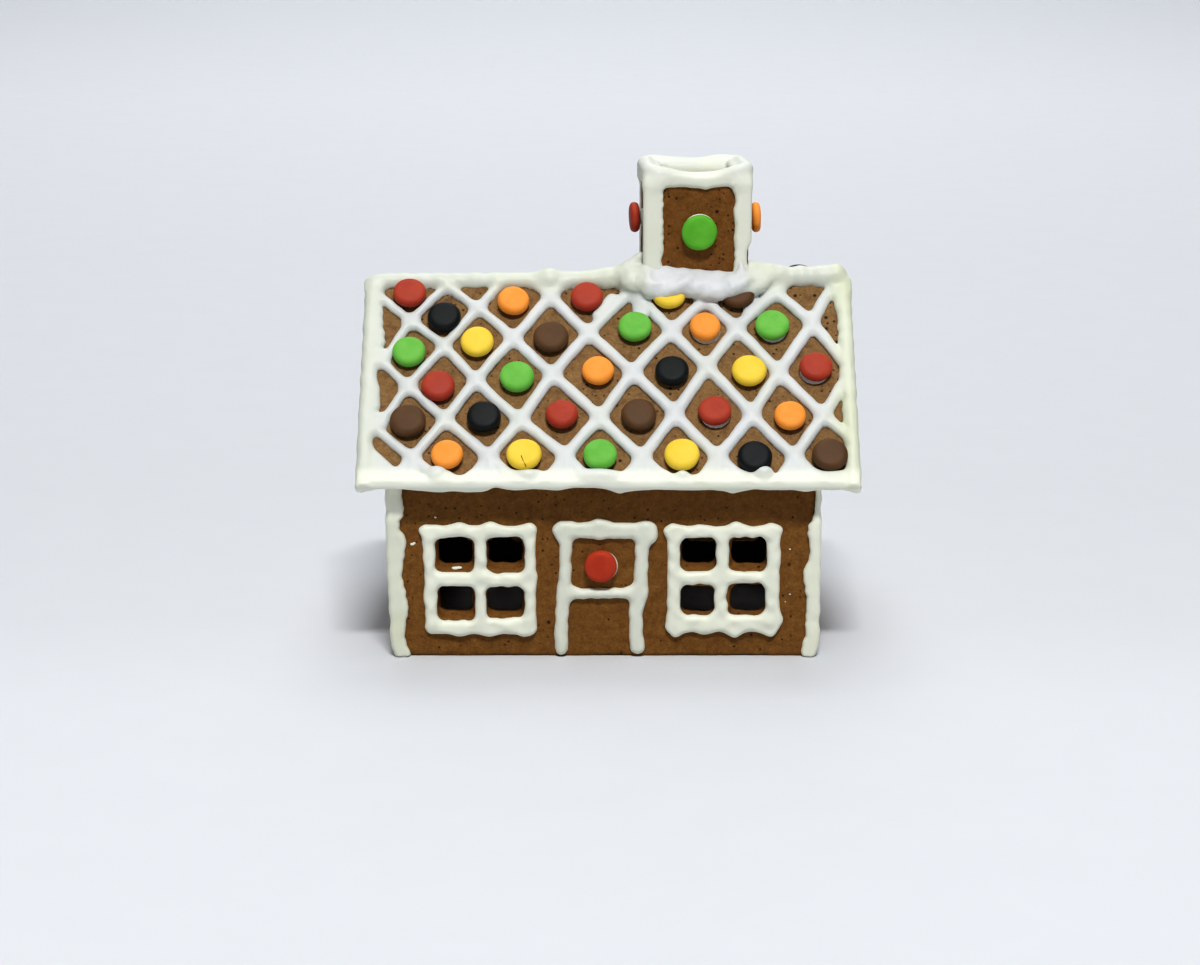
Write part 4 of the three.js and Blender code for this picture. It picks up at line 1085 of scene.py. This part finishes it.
def make_door():
    """The door piped on the front wall, with a round of icing behind its candy."""
    low, high = (-24, -SUNK - 0.5, -1), (22, 3.6, 56)
    p, up, z = grid(low, high, PIPING_CELL)
    plan = 99.0
    for line in DOOR_STRANDS:
        plan = melt(plan, strand(p, z, line), 3.4)
    plan = plan + 0.15 * wobble(6, 85, p, z)
    middle, over = np.mean(node_box("candy_door_red"), axis=0)[[0, 2]]
    glue = piped(np.hypot(p - middle - 0.7, z - over + 0.5) - 5.75, up, 1.0, 1.6)
    field = np.minimum(piped(plan, up, 2.3, 2.3 + 0.2 * wobble(8, 86, p, z)), glue)
    # The last share is painted light: the door's icing is made brighter because the wall gets too
    # little light.
    make_icing("icing_door", shared(field, -SUNK - up, 0.2 - z), low, PIPING_CELL,
               lambda p, up, z: (p, -WALL_Y - up, z), 0.55, painted_light=0.40)


def corner_bars(side, y, z, out):
    """Icing up the two corners of a gable: bars round each corner, uneven in reach and thickness.

    out is how far a place is past the gable's face. Towards the foot the bars draw back by tuck.
    """
    tuck = 1.6 * (1 - rise(z, -1, 5)) + 1.1 * (1 - rise(z, 0, 45)) * (side < 0)
    out = out + tuck + 0.15 * wobble(9, 89, z)
    field = 99.0
    for end in (-1, 1):
        past = end * y - WALL_Y
        reach = through(z, CORNER_REACH[side if end < 0 else -side], 1.6)
        reach = reach + 0.2 * wobble(4, 90 + end, z) - 0.9 * tuck
        slim = 0.7 * rise(z, 49, 55) * (side > 0 and end < 0)
        thick = 1.75 - slim + 0.12 * wobble(11, 92 + end, z)
        front = bar(out, 1.6 - reach, 0.2, past - 0.4, thick)
        aside = 5.6 + 0.8 * wobble(12, 94 + end, z)
        flank = bar(past, -aside, 0.3, out - 0.15 - slim, thick)
        field = np.minimum(field, melt(front, flank, 1.2))
    return np.maximum(field, 0.2 - z)


def make_gable_icing(name, side):
    """Icing of one gable: up its corners and along the two slopes under the roof."""
    face = GABLE_FACE[side]
    low = (side * face - (7.5 if side > 0 else 4.5), -60, -1)
    x, y, z = grid(low, (low[0] + 12, 60, 123), GABLE_CELL)
    under, out = over_roof(x, y, z) + ROOF_THICK, side * x - face
    seam = np.abs(under + 1.9) - 2.3 - 0.35 * wobble(11, 97, y) - 0.2 * wobble(4, 98, y)
    seam = np.maximum(seam, np.abs(y) - WALL_Y + 1.5)
    field = melt(corner_bars(side, y, z, out), piped(seam, out, 2.2, 2.0), 1.2)
    dough = np.maximum(out, np.abs(y) - WALL_Y)
    # Painted light: the icing up the corners is made brighter, the right one more, and most high up
    # under the eave, where its shadow falls.
    corner_painted_light = 0.70 if side > 0 else 0.40
    make_icing(name, shared(field, under - SUNK, -SUNK - dough), low, GABLE_CELL,
               cream=lambda x, y, z: 0.8 + 0.15 * wobble(25, 99, y, z),
               painted_light=lambda x, y, z: corner_painted_light + 0.5 * rise(z, 50, 56))


# ------------------------------------------------------------------ icing on the chimney

RIM_CELL = 0.5                          # grid of the skin of the chimney's icing
RIM_TOP = 173.9                         # middle of the rim's strand, where it doesn't sag
SKIRT_FOOT = 169.4                      # how far down the rim reaches outside
LINING_FOOT = 158                       # how far down it reaches inside the flue

# Icing under the chimney's candies: radius, thickness, and how far it shows aside and above.
GLUE = {"candy_chimney_front_green": (6.3, 1.7, 0.2, 0.6),
        "candy_chimney_left_red": (3.4, 1.3, 0, 0),
        "candy_chimney_right_orange": (3.4, 1.9, 0, 0)}

# Candies that sit a little beside their nodes.
CANDY_SHIFTS = {"candy_chimney_front_green": (0.4, 0.7, -0.9),
                "candy_chimney_left_red": (0, 0, -0.55),
                "candy_chimney_right_orange": (0, 0, -1.0), "candy_ridge_black": (1.4, 0, -1.5)}


def chimney_posts(a, b, z, out_a, out_b):
    """Icing up the four corners: a bar on the front or back face, melted at the back into one on
    the side. out_a and out_b are how far a place is past the side faces and the others."""
    front_left, front_right = (a < 0) * (b < 0), (a > 0) * (b < 0)
    back_left = (a < 0) * (b > 0)
    reach = (5.4 + 0.35 * wobble(13, 61, z, 0.3 * a, 0.3 * b) + 0.25 * wobble(3.2, 65, z, a)
             - 1.0 * front_left - 1.7 * front_right)
    bare = 1.6 * np.exp(-((z - 141) / 4.5) ** 4) * front_right
    edge = 1.0 - 0.4 * front_left + 0.5 * back_left + bare
    on_face = bar(out_a, -reach, -edge, out_b - 0.1, 1.65)
    aside = 2.6 + 0.3 * wobble(13, 62, z, 0.3 * a, 0.3 * b)
    on_side = bar(out_b, -aside, -0.5, out_a + 0.2 + 0.5 * back_left, 1.4 - 0.3 * back_left)
    return melt(on_face, np.where(b > 0, on_side, on_face), 1.2)


def chimney_rim(a, b, z):
    """Icing over the rim: a strand that sags at the front, with a skirt outside, a lining inside
    and a bead along the back."""
    w, d = CHIMNEY["width"] / 2, CHIMNEY["depth"] / 2
    sag = 3.4 * np.exp(-np.abs(a / 12.5) ** 2.7) * rise(-b, 4, 11) + 0.25 * wobble(14, 62, a, b)
    top = RIM_TOP - sag - 1.1 * np.exp(-(a / 10) ** 2) * rise(b, 4, 11)
    ring = box((a, b), (0, 0), (w - 1.6, d - 1.6), 3.6)
    crown = np.sqrt(ring ** 2 + (z - top) ** 2) - 2.6
    foot = SKIRT_FOOT + 0.35 * wobble(9, 63, a, b) - lumps(a, ((3.0, 1.2),), 2.2) * (b < 0)
    skirt = bar(z, foot, top, ring - 1.4, 1.6)
    lining = bar(z, LINING_FOOT, top - 0.6, ring + 3.4, 1.6)
    bead = capsule((a, b, z), (-8.5, d - 5.0, 171.4), (13, d - 5.0, 171.0), 3.0, 3.2)
    return melt(melt(melt(crown, skirt, 2.4), lining, 2.0), bead, 2.0)


def make_chimney_icing():
    """Icing up the chimney's four corners, over its rim and under its candies."""
    w, d = CHIMNEY["width"] / 2, CHIMNEY["depth"] / 2
    low, high = (-w - 4, -d - 4, 100), (w + 4, d + 4, 179)
    a, b, z = grid(low, high, RIM_CELL)
    out_a, out_b = np.abs(a) - w, np.abs(b) - d
    posts = carve(chimney_posts(a, b, z, out_a, out_b), 171.5 - z, 4.0)
    field = melt(posts, chimney_rim(a, b, z), 4.0)
    for name, (radius, thick, aside, over) in GLUE.items():
        p, q, r = in_chimney(*(np.mean(node_box(name), axis=0) + CANDY_SHIFTS[name]))
        if "front" in name:
            plan, out = np.hypot(a - p - aside, z - r - over), out_b + 99 * (b > 0)
        else:
            plan, out = np.hypot(b - q, z - r), out_a + 99 * (a * p < 0)
        field = melt(field, piped(plan - radius, out, 1.0, thick), 0.6)
    panel = shared(out_a, out_b, z - CHIMNEY["top"])
    hollow = np.maximum(out_a, out_b) + CHIMNEY["thick"]
    field = shared(field, -SUNK - np.maximum(panel, -hollow),
                   -SUNK - over_roof(*chimney_place(a, b, z)))
    # Painted light: the icing up the posts is made brighter, and less so on top of the rim, which
    # gets more light.
    make_icing("icing_chimney", field, low, RIM_CELL, chimney_place,
               lambda x, y, z: 0.45 + 0.1 * wobble(20, 64, x, z),
               painted_light=lambda x, y, z: 0.60 - 0.45 * rise(z, 171.5, 174.5))


# ------------------------------------------------------------------ candies

# Widths as shares of the widest, where a candy isn't the usual size.
CANDY_SIZES = {"red": 0.92, "orange": 0.89, "yellow": 0.96, "green": 0.95, "black": 0.94,
               "brown": 0.99}
DOOR_CANDY_SIZE = 0.89
CANDY_RADIUS, CANDY_THICK = 6.65, 4.5   # the widest ones
FLUE_RADIUS, FLUE_THICK = 5.8, 3.7      # those on the chimney's sides
CANDY_OUT = {"left_red": 1.1, "right_orange": 1.7}  # which also stand out more
# The door candy's red is painted light.
OWN_TINTS = {"candy_chimney_front_green": "leaf", "candy_door_red": "red_painted_light"}

# The back slope: rows as level, first column and number, colours, and the least place down.
BACK_ROWS = ((1, 0.5, 5), (2, 0, 6), (3, 0.5, 6), (4, 0, 6), (5, 0.5, 6))
BACK_COLOURS = ("green", "yellow", "red", "orange", "black", "brown")
BACK_RADIUS, BACK_THICK = 6.6, 4.9
FIRST_ROW = 9.0

# A crack across the yellow candy at the lower left: world places of its line.
CRACK = ((-31.7, -60.0, 77.8), (-31.1, -61.2, 76.5), (-30.4, -62.1, 75.3), (-29.9, -62.5, 74.5))
CRACK_RADIUS, CRACK_CELL = 0.17, 0.08


def chimney_way(a, b):
    """A direction in the chimney's axes, in the world."""
    return np.subtract(chimney_place(a, b, 0), chimney_place(0, 0, 0))


# The way out of the face that a candy sits on, by the start of its name.
CANDY_FACES = {"candy_roof": (0, -ROOT_HALF, ROOT_HALF), "candy_door": (0, -1, 0),
               "candy_ridge": (0, ROOT_HALF, ROOT_HALF), "candy_chimney_front": chimney_way(0, -1),
               "candy_chimney_right": chimney_way(1, 0), "candy_chimney_back": chimney_way(0, 1),
               "candy_chimney_left": chimney_way(-1, 0)}


def lentil(radius, thick):
    """A candy about +Z, closed at both poles: rings of a superellipse, so that its faces are nearly
    flat and its edge is round."""
    rings, sides = 19, 44
    angle = np.linspace(-np.pi / 2, np.pi / 2, rings)[1:-1, None]
    out = radius * np.cos(angle) ** 0.29
    up = thick / 2 * np.sign(np.sin(angle)) * np.abs(np.sin(angle))
    turn = np.linspace(0, 2 * np.pi, sides, endpoint=False)
    places = np.stack(np.broadcast_arrays(out * np.cos(turn), out * np.sin(turn), up), axis=2)
    places = np.vstack([places.reshape(-1, 3), (0, 0, -thick / 2), (0, 0, thick / 2)])
    first, last = np.arange(sides), (rings - 3) * sides + np.arange(sides)
    bottom, top = np.full(sides, len(places) - 2), np.full(sides, len(places) - 1)
    caps = np.vstack([np.stack([np.roll(first, -1), first, bottom], axis=1),
                      np.stack([last, np.roll(last, -1), top], axis=1)])
    return places, [grid_quads(rings - 2, sides, closed=True), caps]


def turned_to(out, spin):
    """Matrix whose third column is the way out of a face, turned by spin about it."""
    out = out / np.linalg.norm(out)
    aside = np.cross((0.0, 0.13, 1.0), out)
    aside /= np.linalg.norm(aside)
    basis = np.stack([aside, np.cross(out, aside), out], axis=1)
    cos, sin = np.cos(spin), np.sin(spin)
    return basis @ np.array([[cos, -sin, 0], [sin, cos, 0], [0, 0, 1]])


def make_candy(name, middle, out, radius, thick, colour, seed, replaced=()):
    """One candy: a lentil, a little uneven in size and outline, tilted by a few degrees."""
    rng = np.random.default_rng(seed)
    places, faces = lentil(radius * rng.uniform(0.98, 1.02), thick * rng.uniform(0.95, 1.05))
    places = places * (1 + 0.012 * wobble(9, seed, *places.T))[:, None]
    tilt = np.array(out, float) + rng.normal(0, 0.035, 3)
    places = places @ turned_to(tilt, rng.uniform(0, 6.28)).T + middle
    make_piece(name, places, faces, CANDIES[OWN_TINTS.get(name, colour)], "candy_" + colour,
               replaced)


def make_candies():
    """The candies that the frame has as nodes, each where its node is."""
    for i, name in enumerate(sorted(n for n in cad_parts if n.startswith("candy_"))):
        colour = name.split("_")[-1]
        out = next(way for start, way in CANDY_FACES.items() if name.startswith(start))
        further = CANDY_OUT.get(name.removeprefix("candy_chimney_"), 0)
        size = CANDY_SIZES[colour]
        if "door" in name or "chimney" in name:
            size = DOOR_CANDY_SIZE if "door" in name else 1.0
        thick = FLUE_THICK if further or "front" in name else CANDY_THICK
        radius = FLUE_RADIUS if further else CANDY_RADIUS
        middle = np.mean(node_box(name), axis=0) + further * np.array(out)
        make_candy(name, middle + CANDY_SHIFTS.get(name, (0, 0, 0)), out, radius * size, thick,
                   colour, 100 + i, [name])


def make_crack():
    """The crack: a hair of darker sugar, round in section, along its line."""
    low, high = np.min(CRACK, axis=0) - 0.5, np.max(CRACK, axis=0) + 0.5
    places = grid(low, high, CRACK_CELL)
    field = np.minimum.reduce([capsule(places, start, end, CRACK_RADIUS, CRACK_RADIUS)
                               for start, end in zip(CRACK[:-1], CRACK[1:])])
    make_piece("candy_crack", *skin(field, low, CRACK_CELL), CANDIES["brown"], "candy_brown")


def make_back_candies():
    """Candies between the strands of the back slope, wherever the chimney and the black candy
    behind the ridge leave room."""
    rng = np.random.default_rng(3)
    count = 0
    for level, column, number in BACK_ROWS:
        for i in range(number):
            a, s = crossing(level, column + i)
            beside = abs(-a - CHIMNEY["middle"]) > 34 or s > 51
            colour = BACK_COLOURS[rng.integers(len(BACK_COLOURS))]
            if not beside or np.hypot(-a - 71.5, s - 2.6) < 13.2:
                continue
            count += 1
            across = a + rng.uniform(-0.8, 0.8)
            down = max(s, FIRST_ROW) + rng.uniform(0, 1.5)
            make_candy(f"candy_back_{count:02d}_{colour}", np.array(on_slope(1, across, down, 2.5)),
                       (0, ROOT_HALF, ROOT_HALF), BACK_RADIUS, BACK_THICK, colour, 200 + count)


# ------------------------------------------------------------------ the rest of the scene

# Painted light and shade in the floor's colour, by places along Y: a painted shadow darkens it
# round the house, and painted light makes it lightest far behind the house.
FLOOR_PAINTED_LIGHT = {-400: (0.665, 0.683, 0.720), -110: (0.658, 0.676, 0.712), 0: (0.618, 0.635, 0.669),
               200: (0.608, 0.625, 0.658), 880: (0.655, 0.673, 0.709), 1850: (0.760, 0.780, 0.822),
               3400: (0.855, 0.878, 0.925)}
FLOOR_NEAR, FLOOR_FAR = min(FLOOR_PAINTED_LIGHT), max(FLOOR_PAINTED_LIGHT)

# Soft lamps: place, what it is turned to, how wide and high it is, power and colour.
LAMPS = {"key": ((250, -2470, 4020), (0, 0, 80), (1100, 450), 145, (1.0, 0.99, 0.97)),
         "rear": ((0, 3200, 2700), (0, 3200, 0), (5000, 1800), 43, (0.97, 0.985, 1.0)),
         "overhead": ((0, 0, 2600), (0, 0, 0), (5000, 1200), 31, (0.97, 0.985, 1.0))}
AIR_COLOUR, AIR_STRENGTH = (0.94, 0.97, 1.0, 1), 0.06


def make_camera():
    """The camera: in front of the house and a little above it, looking slightly down."""
    data = bpy.data.cameras.new("camera")
    data.lens, data.sensor_width, data.sensor_fit = CAMERA["lens"], CAMERA["sensor"], "HORIZONTAL"
    data.clip_end = 20
    camera = add_object("camera", data)
    camera.location = np.array(CAMERA["place"]) * MM
    camera.rotation_euler = (np.radians(90 - CAMERA["down"]), 0, 0)
    bpy.context.scene.camera = camera


def floor_material():
    """Pale paper with a faint speck: its tone goes by how far back it is, which is painted light
    and shade.
    """
    material, tree, at = new_material("paper_sweep")
    fine = add_group(tree, GRAIN, at, Scale=300.0, Roughness=0.5)["Patches"]
    run = add_node(tree, "SeparateXYZ", Vector=at).outputs["Y"]
    share = add_node(tree, "MapRange", Value=run, i1=FLOOR_NEAR * MM, i2=FLOOR_FAR * MM)
    shares = [(place - FLOOR_NEAR) / (FLOOR_FAR - FLOOR_NEAR) for place in FLOOR_PAINTED_LIGHT]
    colour = ramp(tree, share.outputs[0], tuple(FLOOR_PAINTED_LIGHT.values()), shares, "LINEAR")
    colour = mix_colour(tree, 1.0, colour, ramp(tree, fine, (0.99, 1.0)), "MULTIPLY")
    surface(tree, Base_Color=colour, Roughness=0.7, Specular_IOR_Level=0.2)
    return material


def make_floor():
    """A pale sweep: flat round the house, then curving up far behind it as a parabola."""
    x, y = np.meshgrid(np.linspace(-12000, 12000, 13), np.linspace(-12000, 7000, 191))
    places = np.stack([x, y, 0.0003 * np.maximum(y - 3500, 0) ** 2], axis=2).reshape(-1, 3)
    mesh = bpy.data.meshes.new("floor")
    mesh.from_pydata((places * MM).tolist(), [], grid_quads(*x.shape).tolist())
    mesh.shade_smooth()
    mesh.materials.append(floor_material())
    floor = add_object("floor", mesh)


def make_lamp(name, place, target, size, power, colour):
    """A soft lamp at a place in mm, turned to a target: size is how wide it is and how high."""
    data = bpy.data.lights.new(name, "AREA")
    data.shape, data.energy, data.color = "RECTANGLE", power, colour
    data.size, data.size_y = np.array(size) * MM
    lamp = add_object(name, data)
    way = np.subtract(target, place)
    across = np.hypot(way[0], way[1])
    lamp.location = np.array(place) * MM
    lamp.rotation_euler = (np.arctan2(across, -way[2]), 0, np.arctan2(way[1], way[0]) - np.pi / 2)


def make_light():
    """A soft lamp high in front, which throws the eave's shadow on the wall, wide ones over the
    house and over the floor far behind, and faint light from all round."""
    world = bpy.data.worlds.new("soft_light")
    bpy.context.scene.world = world
    world.use_nodes = True
    air = world.node_tree.nodes["Background"].inputs
    air["Color"].default_value, air["Strength"].default_value = AIR_COLOUR, AIR_STRENGTH
    for name, lamp in LAMPS.items():
        make_lamp(name, *lamp)
    view = bpy.context.scene.view_settings
    view.view_transform, view.look = "Standard", "Medium High Contrast"


ENDS = (("front", -1), ("back", 1))
SIDES = (("left", -1), ("right", 1))

make_camera()
make_floor()
make_light()
for i, (end, side) in enumerate(ENDS):
    make_wall("wall_" + end, side, 11 + i)
for i, (end, side) in enumerate(SIDES):
    make_gable("gable_" + end, 13 + i)
for i, (end, side) in enumerate(ENDS):
    make_roof_panel("roof_" + end, side, 15 + i)
make_chimney_panels()
for end, side in ENDS:
    make_slope_icing("icing_roof_" + end, side)
make_ridge_icing()
for end, side in ENDS:
    for key in FRAMES:
        make_frame(f"icing_window_{end}_{key}", side, key)
make_door()
for end, side in SIDES:
    make_gable_icing("icing_gable_" + end, side)
make_chimney_icing()
make_candies()
make_crack()
make_back_candies()
